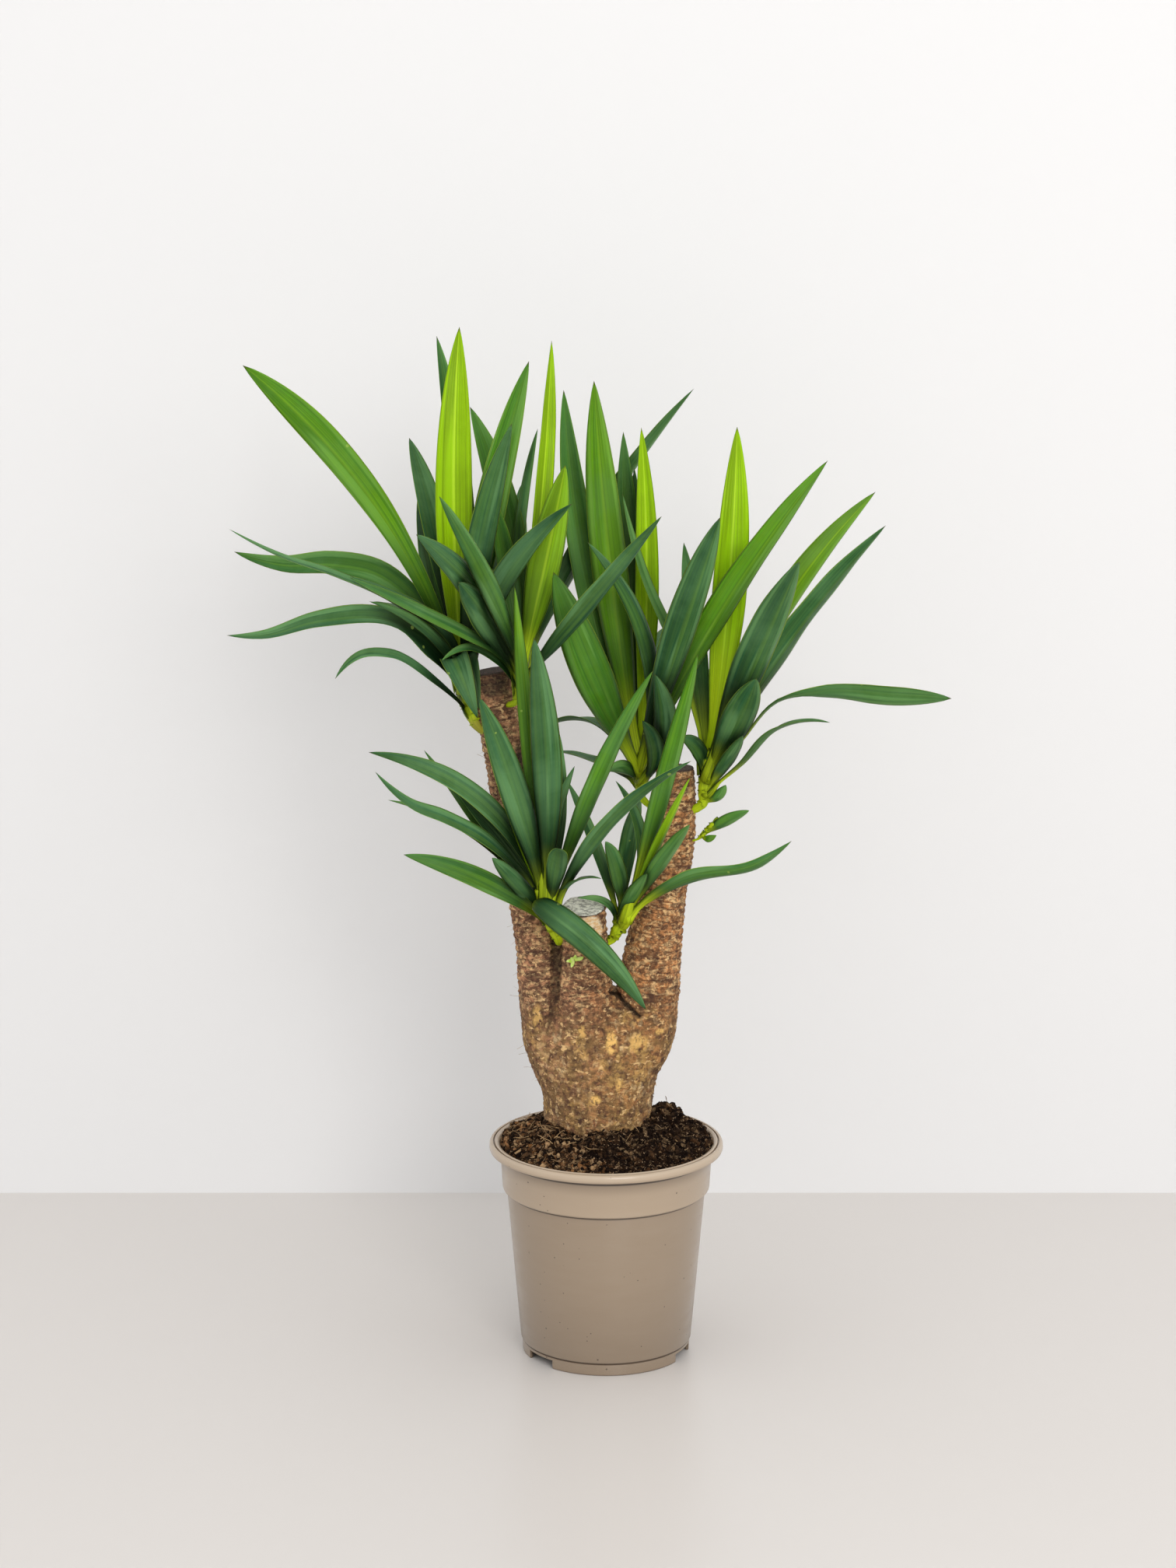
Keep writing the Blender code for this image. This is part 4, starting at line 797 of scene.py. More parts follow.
def leaf_material(props):
    """Living leaf: dark old blades to bright young ones, a yellow foot, veins and a thin pale edge, with
    painted shade deep in the head and on one half of each blade, and painted sheen and glossy streaks.
    """
    g = Finish("yucca_leaf")
    across, along, _ = g.split(g.add("ShaderNodeUVMap", uv_map="blade"))
    youth, seed, width = g.attributes("youth", "seed", "width")
    woody, crowd, reach = g.attributes("woody", "crowd", "reach")

    def streaks(fineness):
        return g.streaks({"Across": across * width, "Along": along, "Seed": seed, "Fineness": fineness})

    wander = g.mottle(22.0, 0.3, 0.7)
    veins = streaks(750.0)
    bands = streaks(230.0)
    age = 1.0 - youth
    from_rib = abs(across - 0.5)

    # The blade's own green, darkened at random, and painted shade on one half of each blade, as on the
    # shaded side of its fold
    colour = g.mix(g.ramp(youth, 0.1, 0.6), props.old_colour, props.grown_colour)
    colour = g.mix(g.ramp(youth, 0.55, 1.0), colour, props.young_colour)
    light = g.mix(0.5, colour, props.young_colour)
    chance = g.math("FRACT", seed * 7.0)
    half = abs(across - (chance < 0.5))
    colour = g.mix(chance * 0.35, colour, g.mix(0.5, colour, (0.0, 0.0, 0.0)))
    colour = g.mix(bands * 0.32, colour, light)
    dark = g.mix(0.6, colour, (0.0, 0.01, 0.005))

    # Painted highlight: pale glossy streaks along the middle of each blade
    painted_gloss = g.ramp(streaks(105.0), 0.55, 0.90) * g.ramp(along, 0.22, 0.50, 0.0, 0.46)
    # Painted sheen: pale patches over the middles of the old leaves
    sheen = g.mottle(11.0, 0.40, 0.62) * g.ramp(along, 0.16, 0.38) * (age * 0.38)
    rib = g.ramp(from_rib, 0.015, 0.05, 1.0, 0.0) * g.ramp(youth, 0.5, 1.0, 0.0, 0.60)
    foot = g.ramp(along / (youth * 0.10 + reach), 0.30, 1.25, 0.96, 0.0)
    foot = foot * g.ramp(from_rib, 0.24, 0.48, 1.0, 0.35) * (veins * -0.30 + 1.0)
    edge = g.ramp(from_rib, 0.462, 0.488)
    colour = g.paint(
        colour,
        (wander * 0.42, dark),
        (veins * 0.66, dark),
        # Painted shade on one half of each blade, the side chosen at random
        (g.ramp(half, 0.40, 0.58, 0.0, 0.42), dark),
        (painted_gloss, g.mix(youth, props.sheen_colour, light)),
        (sheen, props.sheen_colour),
        # Painted shade towards each leaf's foot, deep in the head, stronger on older leaves
        (g.ramp(along, 0.48, 0.18) * (age * 0.78 + 0.02), (0.006, 0.040, 0.010)),
        (rib, g.mix(0.4, light, (0.85, 0.95, 0.10))),
        (foot, props.foot_colour),
        (edge * 0.70, (0.52, 0.72, 0.10)),
    )

    # Shade among crowded leaves, spots, dry tips and woody stem feet
    spared = youth * -0.48 + (foot * -0.50 + 1.0)
    colour = g.paint(
        colour,
        (
            (g.ramp(crowd, 0.07, 0.42, 0.0, 0.98) * spared).clamped(),
            g.mix(1.0, colour, (0.08, 0.13, 0.10), "MULTIPLY"),
        ),
        (g.specks(95.0, 0.035, 0.16) * 0.5, (0.45, 0.60, 0.12)),
        (g.ramp(along, 0.982, 1.0) * 0.7, (0.16, 0.12, 0.03)),
        (woody, (0.36, 0.17, 0.10)),
    )
    through = g.mix(1.0, colour, (1.25, 1.35, 0.6), "MULTIPLY")
    g.blend_surface(0.30, g.add("ShaderNodeBsdfTranslucent", {"Color": through}))
    return g.dress(
        {
            "Base Color": colour,
            "Roughness": edge * 0.35 + g.ramp(wander, 0.0, 1.0, 0.30, 0.44),
            "Specular IOR Level": 0.30,
            "Specular Tint": (0.80, 1.0, 0.50, 1.0),
            "Normal": g.bump(veins + bands * 0.8, 0.45, 0.0005),
        }
    )


def bark_material(props):
    """Brown fibrous bark with dark cracks, tan flakes, ochre places and greyed saw cuts; painted shade in
    the slit, the furrow, the relief's hollows and under the leaves, and a painted highlight on the relief's
    crests.
    """
    g = Finish("yucca_bark")
    relief, sawn, ochre, peeled, shade, base, turns = g.attributes(
        "relief", "sawn", "ochre", "peeled", "shade", "base", "turns"
    )
    dark = props.crack_colour
    tan = props.flake_colour
    small = g.mottle(260.0, 0.42, 0.62, 2.2)
    fine = g.mottle(700.0, 0.4, 0.6, 2.6)
    brown = g.mix(g.ramp(g.split(g.place())[0], -0.055, 0.030), props.grey_colour, props.bark_colour)
    plain = base * -0.75 + 1.0
    phase = g.math("FRACT", g.mottle(190.0, 0.2, 0.8) * 0.35 + turns)
    golden = g.mottle(52.0, 0.53, 0.62, 0.7) * (g.mottle(230.0, 0.42, 0.54, 0.9) * base)
    colour = g.paint(
        brown,
        (g.mottle(45.0, 0.35, 0.65, 1.4), g.mix(0.40, brown, dark)),
        (g.mottle(58.0, 0.50, 0.57, 1.6) * 0.66, dark),
        (g.mottle(190.0, 0.47, 0.58, 1.2) * 0.60, dark),
        (g.mottle(110.0, 0.53, 0.60, 1.5) * 0.60, tan),
        (g.ramp(phase, 0.60, 0.85) * g.mottle(130.0, 0.45, 0.60, 1.2) * plain * 0.50, tan),
        (g.ramp(phase, 0.22, 0.05) * g.mottle(120.0, 0.34, 0.52) * plain * 0.72, dark),
        (g.mottle(60.0, 0.46, 0.56, 0.6) * base * 0.58, dark),
        (golden * 0.60, props.ochre_colour),
        (g.mottle(120.0, 0.60, 0.65, 0.55) * base * 0.75, (0.95, 0.70, 0.38)),
        (base * 0.33, dark),
        (g.mottle(250.0, 0.47, 0.56) * 0.64, dark),
        (g.mottle(170.0, 0.585, 0.64, 1.4) * 0.74, tan),
        ((ochre * g.mottle(210.0, 0.40, 0.54, 0.8)).clamped(), props.ochre_colour),
        # Darker in the relief's hollows, as crack colour and painted shade, and a painted highlight on its
        # crests
        (g.ramp(relief, -0.45, -1.3, 0.0, 0.8), dark),
        (g.ramp(relief, 0.4, 1.1, 0.0, 0.30), tan),
        # Painted shade in the slit and the furrow, and painted shadow under the leaves
        (shade * 0.85, (0.02, 0.011, 0.006)),
        (peeled, g.mix(small, (0.80, 0.50, 0.22), (0.95, 0.84, 0.62))),
        (g.ramp(sawn, 0.3, 0.6), g.mix(fine, (0.10, 0.06, 0.04), (0.03, 0.02, 0.015))),
        (g.ramp(sawn, 1.2, 1.6), g.mix(small, props.cut_colour, (0.30, 0.30, 0.25))),
    )
    rough = g.bump(small * 0.6 + fine * 0.4, 0.9, 0.0008)
    return g.dress({"Base Color": colour, "Roughness": 0.88, "Normal": rough})


def peat_material(name, props, dryness):
    """Near-black moist peat; the drier it is, the more of it is brown."""
    g = Finish(name)
    place = g.place()
    cells = g.add("ShaderNodeTexVoronoi", {"Vector": place, "Scale": 270.0}, "Color")
    tone, hue, chance = g.split(cells, "Color")
    dry = g.ramp(g.split(place)[0], 0.030, -0.055, 0.20 * dryness, dryness)
    clods = (tone**2.6 * dry * (g.mottle(70.0, 0.40, 0.60) * 0.75 + 0.35)).clamped()
    colour = g.paint(
        props.dark_colour,
        (clods, g.mix(hue, props.brown_colour, props.rust_colour)),
        (g.ramp(chance, 0.86, 0.93) * (dry + 0.15) * 0.7, (0.42, 0.27, 0.14)),
        (g.mottle(420.0, 0.60, 0.66) * 0.60, (0.50, 0.34, 0.20)),
    )
    lumps = g.bump(clods, 0.8, 0.001)
    return g.dress({"Base Color": colour, "Roughness": 0.85, "Specular IOR Level": 0.05, "Normal": lumps})


def two_tone_material(name, scale, first, second, roughness):
    """Small patches of two colours: fibres and hairs, or the bud."""
    g = Finish(name)
    return g.dress({"Base Color": g.mix(g.mottle(scale, 0.35, 0.65), first, second), "Roughness": roughness})


def pot_material(props):
    """Satin taupe plastic with faint flow marks, dirt specks and grime in the foot's seam, painted highlight
    on the lip's top and the collar, and painted shadow under the lip (with some dirt there), in its groove,
    under the step and beneath the pot.
    """
    g = Finish("yucca_pot")
    place = g.place()
    height = g.split(place)[2]
    flat = g.vector("MULTIPLY", place, (1.0, 1.0, 0.0))
    out = g.add("ShaderNodeVectorMath", {0: flat}, "Value", operation="LENGTH")
    flow = g.mottle(14.0, 0.3, 0.7, 6.0)
    grain = g.mottle(500.0, 0.3, 0.7, 4.0)
    lip = g.ramp(height, *LIP_TOP_FADE)
    dirt = g.math("MAXIMUM", g.specks(130.0, 0.060, 0.11), g.specks(290.0, 0.035, 0.17))

    def line(value, middle, wide, narrow, strength):
        """Covers a line at the middle value, fully as far as narrow and not at all beyond wide."""
        return g.ramp(abs(value - middle), wide, narrow, 0.0, strength)

    lip_shadow = g.ramp(height, *LIP_SHADOW_FADES[0]) * g.ramp(height, *LIP_SHADOW_FADES[1])
    underside_shade = g.ramp(out, *UNDERSIDE_SHADE_FADES[0]) * g.ramp(height, *UNDERSIDE_SHADE_FADES[1])
    # Painted shade in the groove round the lip's top
    groove = line(out, RIM_RADIUS - LIP_GROOVE, 0.0010, 0.0004, 0.60) * lip
    colour = g.paint(
        props.colour,
        (flow * 0.05, (0.62, 0.55, 0.47)),
        (grain * 0.08, (0.24, 0.17, 0.11)),
        (g.ramp(height, 0.10, 0.0, 0.0, 0.22), (0.12, 0.09, 0.065)),
        # Painted highlight: the collar lighter than the body
        (g.ramp(height, *COLLAR_HIGHLIGHT_FADE) * 0.34, (0.60, 0.47, 0.34)),
        # Painted shadow under the lip, fading down the collar
        (lip_shadow * 0.42, (0.10, 0.07, 0.045)),
        (line(height, LIP_SHADE_HEIGHT, 0.0020, 0.0010, 0.92), (0.045, 0.030, 0.02)),
        # Painted highlight on the lip's top
        (lip * 0.20, (0.66, 0.53, 0.39)),
        (groove, (0.13, 0.075, 0.04)),
        # Painted shade under the pot, inside its foot, which darkens the notches
        (underside_shade * 0.90, (0.035, 0.024, 0.017)),
        (line(height, LEDGE_SHADE_HEIGHT, 0.0014, 0.0006, 0.88), (0.06, 0.04, 0.025)),
        (line(height, SEAM_HEIGHT, 0.0016, 0.0005, 0.92), (0.07, 0.045, 0.03)),
        (g.ramp(height, 0.016, 0.0, 0.0, 0.45) * grain, (0.20, 0.14, 0.09)),
        (g.ramp(height, 0.0016, 0.0002, 0.0, 0.7), (0.09, 0.055, 0.035)),
        (dirt * 0.75, (0.06, 0.04, 0.03)),
    )
    return g.dress(
        {
            "Base Color": colour,
            "Roughness": g.ramp(flow, 0.0, 1.0, 0.34, 0.44),
            "Coat Weight": 0.52,
            "Coat Roughness": 0.12,
            "Normal": g.bump(grain, 0.06, 0.0003),
        }
    )


def stage_material(name, colour, roughness, one_sided=False):
    g = Finish(name)
    if one_sided:
        behind = g.add("ShaderNodeNewGeometry", output="Backfacing")
        g.blend_surface(behind, g.add("ShaderNodeBsdfTransparent"))
    return g.dress({"Base Color": (*colour, 1.0), "Roughness": roughness})


# Geometry Nodes trees


def geometry_tree(name, inputs):
    sockets = {"Geometry": "NodeSocketGeometry", **inputs, "Material": "NodeSocketMaterial"}
    return new_group(name, "GeometryNodeTree", sockets, "Geometry", "NodeSocketGeometry")


def close_tree(g, geometry):
    """Realizes what was instanced and gives it the tree's material."""
    real = g.add("GeometryNodeRealizeInstances", {"Geometry": geometry})
    g.feed(g.out, g.add("GeometryNodeSetMaterial", {"Geometry": real, "Material": g.given["Material"]}))
    return g.tree


def named_value(g, name):
    return g.add("GeometryNodeInputNamedAttribute", {"Name": name}, data_type="FLOAT")


def random_float(g, low, high, seed):
    return g.add("FunctionNodeRandomValue", {2: low, 3: high, "Seed": seed}, 1, data_type="FLOAT")


def random_vector(g, low, high, seed):
    return g.add("FunctionNodeRandomValue", {0: low, 1: high, "Seed": seed}, data_type="FLOAT_VECTOR")


def move_points(g, geometry, offset):
    return g.add("GeometryNodeSetPosition", {"Geometry": geometry, "Offset": offset})


def build_bark_tree():
    """Raises the trunk's surface into leaf-scar rings, lumps and cracks, and keeps the relief."""
    g = geometry_tree(
        "Bark Relief",
        {
            "Ring Spacing": 0.0095,
            "Ring Depth": 0.0004,
            "Line Spacing": 0.0027,
            "Line Depth": 0.0002,
            "Lump Depth": 0.0010,
            "Grain Depth": 0.0010,
        },
    )
    place = g.add("GeometryNodeInputPosition")
    along = named_value(g, "along")
    turns = g.noise(place, 24.0) * 1.3 + along / g.given["Ring Spacing"]
    lines = g.noise(place, 90.0, 3.0) * 2.2 + along / g.given["Line Spacing"]
    plain = 1.0 - named_value(g, "base") * 0.65
    ring = g.math("SINE", turns * math.tau) * plain
    line = g.math("SINE", lines * math.tau) * plain
    lump = g.noise(place, 38.0, 3.0) - 0.5
    grain = g.noise(g.vector("MULTIPLY", place, (1.0, 1.0, 2.2)), 230.0, 4.0) - 0.5

    total = line * g.given["Line Depth"] + ring * g.given["Ring Depth"]
    total = grain * (g.given["Grain Depth"] * 2.0) + total
    relief = total / RELIEF_UNIT
    total = lump * (g.given["Lump Depth"] * 2.0) + total
    total = total * (1.0 - named_value(g, "sawn") * 0.9).clamped()
    kept = g.given["Geometry"]
    for name, value in (("relief", relief), ("turns", turns)):
        inputs = {"Geometry": kept, "Name": name, "Value": value}
        kept = g.add("GeometryNodeStoreNamedAttribute", inputs, data_type="FLOAT", domain="POINT")
    normal = g.add("GeometryNodeInputNormal")
    return close_tree(g, move_points(g, kept, g.scaled(normal, total)))


def scatter_copies(g, mask, instance, turn, scale, ruffle, depth):
    """Stands copies on the surface where the mask is, each turned and sized, and ruffles them."""
    density = g.given["Density"] * named_value(g, mask)
    inputs = {"Mesh": g.given["Geometry"], "Density": density, "Seed": g.given["Seed"]}
    spread = g.node("GeometryNodeDistributePointsOnFaces", inputs)
    points, _, upright = (Wire(g, socket) for socket in spread.outputs)
    turned_by = g.add("FunctionNodeRotateRotation", {0: upright, 1: turn}, rotation_space="LOCAL")
    inputs = {"Points": points, "Instance": instance, "Rotation": turned_by, "Scale": scale}
    real = g.add("GeometryNodeRealizeInstances", {"Geometry": g.add("GeometryNodeInstanceOnPoints", inputs)})
    push = g.noise(g.add("GeometryNodeInputPosition"), ruffle, 1.0, output=1)
    push = g.vector("SUBTRACT", push, (0.5, 0.5, 0.5))
    return close_tree(g, move_points(g, real, g.scaled(push, depth)))


def build_scatter_tree():
    """Scatters lumpy bits over a surface: peat crumbs, or bark flakes when they are flat."""
    g = geometry_tree(
        "Scattered Bits",
        {
            "Density": 50000.0,
            "Smallest": 0.0008,
            "Largest": 0.004,
            "Flatness": 0.8,
            "Tumble": 3.0,
            "Lumpiness": 0.0015,
            "Rounds": 2,
            "Seed": 1,
        },
    )
    ball = g.add("GeometryNodeMeshIcoSphere", {"Radius": 1.0, "Subdivisions": g.given["Rounds"]})
    share = random_float(g, 0.0, 1.0, g.given["Seed"]) ** 2.5
    size = share * (g.given["Largest"] - g.given["Smallest"]) + g.given["Smallest"]
    shape = random_vector(g, (0.7, 0.6, 0.6), (1.25, 1.0, 1.0), 7)
    shape = g.vector("MULTIPLY", shape, g.combine(1.0, 1.0, g.given["Flatness"]))
    tip = g.combine(g.given["Tumble"], g.given["Tumble"], math.pi)
    turn = random_vector(g, g.scaled(tip, -1.0), tip, 8)
    return scatter_copies(g, "bits", ball, turn, g.scaled(shape, size), 520.0, g.given["Lumpiness"])


def build_fibre_tree():
    """Lays thin wavy fibres on a surface, or stands them up as hairs."""
    g = geometry_tree(
        "Loose Fibres",
        {"Density": 3000.0, "Length": 0.02, "Thickness": 0.0003, "Rise": 0.1, "Curl": 0.004, "Seed": 3},
    )
    line = g.add("GeometryNodeCurvePrimitiveLine", {"End": g.combine(g.given["Length"])})
    line = g.add("GeometryNodeResampleCurve", {"Curve": line, "Count": 8})
    round_wire = {"Resolution": 4, "Radius": g.given["Thickness"] * 0.5}
    profile = g.add("GeometryNodeCurvePrimitiveCircle", round_wire)
    strand = g.add("GeometryNodeCurveToMesh", {"Curve": line, "Profile Curve": profile, "Fill Caps": True})
    rise = g.given["Rise"] * -1.0
    low = g.combine(-0.4, rise - 0.25)
    high = g.combine(0.4, rise + 0.1, math.tau)
    turn = random_vector(g, low, high, 4)
    scale = random_float(g, 0.35, 1.1, 5)
    return scatter_copies(g, "fibrous", strand, turn, scale, 85.0, g.given["Curl"])


def build_notch_tree():
    """Cuts the three wide notches round the foot, and the ring of drain holes in the floor."""
    g = geometry_tree(
        "Foot Notches",
        {
            "First Notch": 0.0,
            "Ring Radius": 0.0756,
            "Width": 0.033,
            "Height": 0.0085,
            "Hole Circle": 0.05,
            "Hole Radius": 0.005,
        },
    )
    height = g.given["Height"]
    places = g.add("GeometryNodeMeshCircle", {"Vertices": 3, "Radius": g.given["Ring Radius"]})
    turn = g.combine(z=g.given["First Notch"])
    places = g.add("GeometryNodeTransform", {"Geometry": places, "Rotation": turn})
    block = g.add("GeometryNodeMeshCube", {"Size": g.combine(0.02, g.given["Width"], height)})
    lift = g.combine(z=height * 0.5 - 0.0004)
    block = g.add("GeometryNodeTransform", {"Geometry": block, "Translation": lift})
    x, y, _ = g.split(g.add("GeometryNodeInputPosition"))
    facing = g.combine(z=g.math("ARCTAN2", y, x))
    blocks = g.add("GeometryNodeInstanceOnPoints", {"Points": places, "Instance": block, "Rotation": facing})
    holes = g.add("GeometryNodeMeshCircle", {"Vertices": 6, "Radius": g.given["Hole Circle"]})
    drill = {"Vertices": 24, "Radius": g.given["Hole Radius"], "Depth": 0.04}
    drill = g.add("GeometryNodeMeshCylinder", drill)
    drills = g.add("GeometryNodeInstanceOnPoints", {"Points": holes, "Instance": drill})
    cutters = g.node("GeometryNodeJoinGeometry", {0: blocks})
    g.feed(cutters.inputs[0], drills)
    cutters = g.add("GeometryNodeRealizeInstances", {"Geometry": Wire(g, cutters.outputs[0])})
    inputs = {"Mesh 1": g.given["Geometry"], "Mesh 2": cutters}
    return close_tree(g, g.add("GeometryNodeMeshBoolean", inputs, operation="DIFFERENCE"))


# Pieces


def pot_inner_radius(height):
    """The radius of the pot's inner wall, which steps in under the collar."""
    floor = FOOT_HEIGHT + POT_WALL
    if height >= STEP_HEIGHT:
        share = (height - STEP_HEIGHT) / (POT_HEIGHT - STEP_HEIGHT)
        return COLLAR_FOOT_RADIUS - POT_WALL + share * (COLLAR_TOP_RADIUS - COLLAR_FOOT_RADIUS)
    share = (height - floor) / (STEP_HEIGHT - floor)
    return BODY_FOOT_RADIUS - POT_WALL + share * (BODY_TOP_RADIUS - BODY_FOOT_RADIUS)


def points_near(radius, height, *offsets):
    """Points of a profile round one corner, each given in millimetres outwards and up from it."""
    return [(radius + out * MM, height + up * MM) for out, up in offsets]


def build_pot(props, material):
    """The moulded pot with its rolled lip, stepped collar, foot seam, notches and drain holes."""
    floor_top = FOOT_HEIGHT + POT_WALL
    lip_foot = POT_HEIGHT - LIP_DEPTH
    inner = [(pot_inner_radius(z), z) for z in (lip_foot, STEP_HEIGHT, STEP_HEIGHT - STEP_SLOPE, floor_top)]
    profile = [
        (0.0, 0.0012),
        *points_near(BOSS_RADIUS, 0.0, (-1.0, 1.2), (0.0, 2.0)),
        (BOSS_RADIUS, FOOT_HEIGHT),
        (FOOT_RADIUS - FOOT_WIDTH, FOOT_HEIGHT),
        *points_near(FOOT_RADIUS - FOOT_WIDTH, 0.0, (0.0, 0.6), (0.6, 0.0)),
        *points_near(FOOT_RADIUS, 0.0, (-0.6, 0.0), (0.0, 0.6)),
        *points_near(FOOT_RADIUS, FOOT_HEIGHT, (0.4, -0.8), (-0.4, -0.1), (-0.2, 0.6)),
        *points_near(BODY_FOOT_RADIUS, FOOT_HEIGHT, (-0.5, 1.0), (0.0, 1.8)),
        *points_near(BODY_TOP_RADIUS, STEP_HEIGHT, (-0.1, -2.2), (0.0, -1.0)),
        *points_near(COLLAR_FOOT_RADIUS, STEP_HEIGHT, (-1.2, -0.4), (-0.3, 0.4), (0.0, 1.6)),
        *points_near(COLLAR_TOP_RADIUS, lip_foot, (-0.2, -0.8), (0.4, 0.0)),
        *points_near(RIM_RADIUS, lip_foot, (-2.0, 0.1), (-0.6, 0.8), (0.0, 2.2)),
        *points_near(RIM_RADIUS, POT_HEIGHT, (-0.1, -3.0), (-0.9, -1.4), (-2.2, -0.6), (-3.4, -0.7)),
        *points_near(RIM_RADIUS, POT_HEIGHT, (-3.9, -2.6), (-4.5, -2.6), (-5.0, -0.6), (-6.0, 0.0)),
        *points_near(MOUTH_RADIUS, POT_HEIGHT, (1.2, -0.3), (0.0, -1.0), (-1.2, -3.0)),
        *inner,
        (0.0, floor_top),
    ]
    pot = turned("pot_shell", profile, POT_SIDES)
    values = {
        "First Notch": math.radians(FIRST_NOTCH),
        "Ring Radius": FOOT_RADIUS,
        "Width": props.notch_width,
        "Height": props.notch_height,
        "Hole Circle": DRAIN_CIRCLE,
        "Hole Radius": DRAIN_RADIUS,
        "Material": material,
    }
    mesh = run_tree(pot, build_notch_tree(), values)
    mesh.shade_smooth()
    mesh.set_sharp_from_angle(angle=math.radians(40))
    finish_piece(pot, replaced=("pot",))


def soil_height(x, y, waves):
    """The lumpy mounded top: highest at the trunk, level with the lip at the wall, one clump."""
    far = min(1.0, math.hypot(x, y) / MOUTH_RADIUS)
    height = SOIL_EDGE_HEIGHT + SOIL_MOUND * (1.0 - far**2.2)
    away = math.hypot(x - CLUMP_PLACE.x, y - CLUMP_PLACE.y)
    height += 0.72 * CLUMP_HEIGHT * math.exp(-((away / CLUMP_SPREAD) ** 2))
    for turn, pitch, phase, lift in waves:
        height += (1.0 - far**6) * lift * math.sin(pitch * (x * math.cos(turn) + y * math.sin(turn)) + phase)
    return height


def loose_bits(source, name, tree, values, bits=None):
    """A piece of its own, made by the tree over a copy of the piece that carries it."""
    piece = linked(name, source.data.copy())
    if bits is not None:
        store(piece.data, "bits", bits)
    run_tree(piece, tree, values)
    finish_piece(piece)


def build_soil(props, peat, wet_peat, fibre):
    """The plug of peat, with crumbs and fibres scattered over its top."""
    rng = random.Random(SOIL_SEED)
    waves = [
        (rng.uniform(0, math.pi), rng.uniform(110, 260), rng.uniform(0, 6.28), rng.uniform(0.0008, 0.0016))
        for _ in range(6)
    ]
    wall = FOOT_HEIGHT + POT_WALL + SOIL_GAP
    profile = (
        (pot_inner_radius(wall) - SOIL_GAP, wall),
        (pot_inner_radius(STEP_HEIGHT - STEP_SLOPE) - SOIL_GAP, STEP_HEIGHT - STEP_SLOPE + SOIL_GAP),
        (pot_inner_radius(STEP_HEIGHT) - SOIL_GAP, STEP_HEIGHT + 0.0006),
        (pot_inner_radius(SOIL_EDGE_HEIGHT) - 0.0004, SOIL_EDGE_HEIGHT - 0.004),
        (MOUTH_RADIUS - 0.0017, SOIL_EDGE_HEIGHT + 0.0012),
    )
    turns = circle(SOIL_SIDES)
    rings = [[(r * cos, r * sin, z) for cos, sin in turns] for r, z in profile]
    for share in np.linspace(0.985, 0.30, SOIL_RINGS):
        r = profile[-1][0] * share
        bank = SOIL_BANK * float(smooth_step(0.80, 0.96, share))
        ring = [(r * cos, r * sin) for cos, sin in turns]
        rings.append([(x, y, soil_height(x, y, waves) + bank) for x, y in ring])
    soil = loft("soil_plug", rings)
    x, y, z = points_of(soil.data).T
    trunk = np.hypot((x - TRUNK_FOOT[0]) / TRUNK_FOOT[2], (y - TRUNK_FOOT[1]) / TRUNK_FOOT[3])
    clump = np.exp(-((np.hypot(x - CLUMP_PLACE.x, y - CLUMP_PLACE.y) / CLUMP_REACH) ** 2))
    on_top = (z > SOIL_EDGE_HEIGHT - 0.003) & (np.hypot(x, y) < SOIL_TOP_RADIUS) & (trunk > 0.95)
    store(soil.data, "bits", on_top * (1.0 + 1.5 * clump))
    store(soil.data, "fibrous", on_top * (0.25 + smooth_step(0.01, -0.06, x)))
    soil.data.shade_smooth()

    scatter = build_scatter_tree()
    crumbs = {
        "Density": props.crumb_density,
        "Smallest": props.smallest_crumb,
        "Largest": props.largest_crumb,
        "Flatness": 0.85,
        "Tumble": 3.0,
        "Lumpiness": 0.0022,
        "Rounds": 2,
        "Seed": 11,
        "Material": peat,
    }
    grit = crumbs | {"Density": 190000.0, "Largest": 0.0019, "Rounds": 1, "Seed": 31}
    clods = crumbs | {"Density": 52000.0, "Smallest": 0.0020, "Largest": 0.0058, "Seed": 14}
    clods["Lumpiness"] = 0.003
    strands = {
        "Density": props.fibre_density,
        "Length": 0.017,
        "Thickness": 0.0007,
        "Rise": 0.12,
        "Curl": 0.006,
        "Seed": 3,
        "Material": fibre,
    }
    loose_bits(soil, "soil_crumbs", scatter, crumbs)
    loose_bits(soil, "soil_grit", scatter, grit)
    loose_bits(soil, "soil_clods", scatter, clods, on_top * clump**1.5)
    loose_bits(soil, "soil_fibres", build_fibre_tree(), strands)
    finish_piece(soil, wet_peat, replaced=("soil",))


def trunk_body():
    """The base, branches and stub fused, remeshed evenly and softened where they meet."""
    heights = np.array([section[2] for section in BASE_SECTIONS])
    at = (heights - heights[0]) / (heights[-1] - heights[0])
    rings = []
    for x, y, z, across, deep in smooth_path(BASE_SECTIONS, 40, at):
        rings.append([(x + across * cos, y + deep * sin, z) for cos, sin in circle(64)])
    trunk = loft("trunk_bark", rings)
    fuse(trunk, [loft("branch", tube_rings(smooth_path(path, 60), 40, tilt)) for path, tilt in BRANCHES])
    remesh = trunk.modifiers.new("Even mesh", "REMESH")
    remesh.mode = "VOXEL"
    remesh.voxel_size = BARK_VOXEL
    remesh.use_smooth_shade = True
    soften = trunk.modifiers.new("Soften", "SMOOTH")
    soften.factor = 0.5
    soften.iterations = 5
    bake(trunk)
    return trunk


def line_distance(places, start, end):
    """How far each place lies, seen from the front, from the line between two (x, z) points."""
    line = np.array([end[0] - start[0], end[1] - start[1]])
    rest = places[:, [0, 2]] - np.array(start)
    share = np.clip(rest @ line / (line @ line), 0.0, 1.0)
    return np.linalg.norm(rest - share[:, None] * line, axis=1)


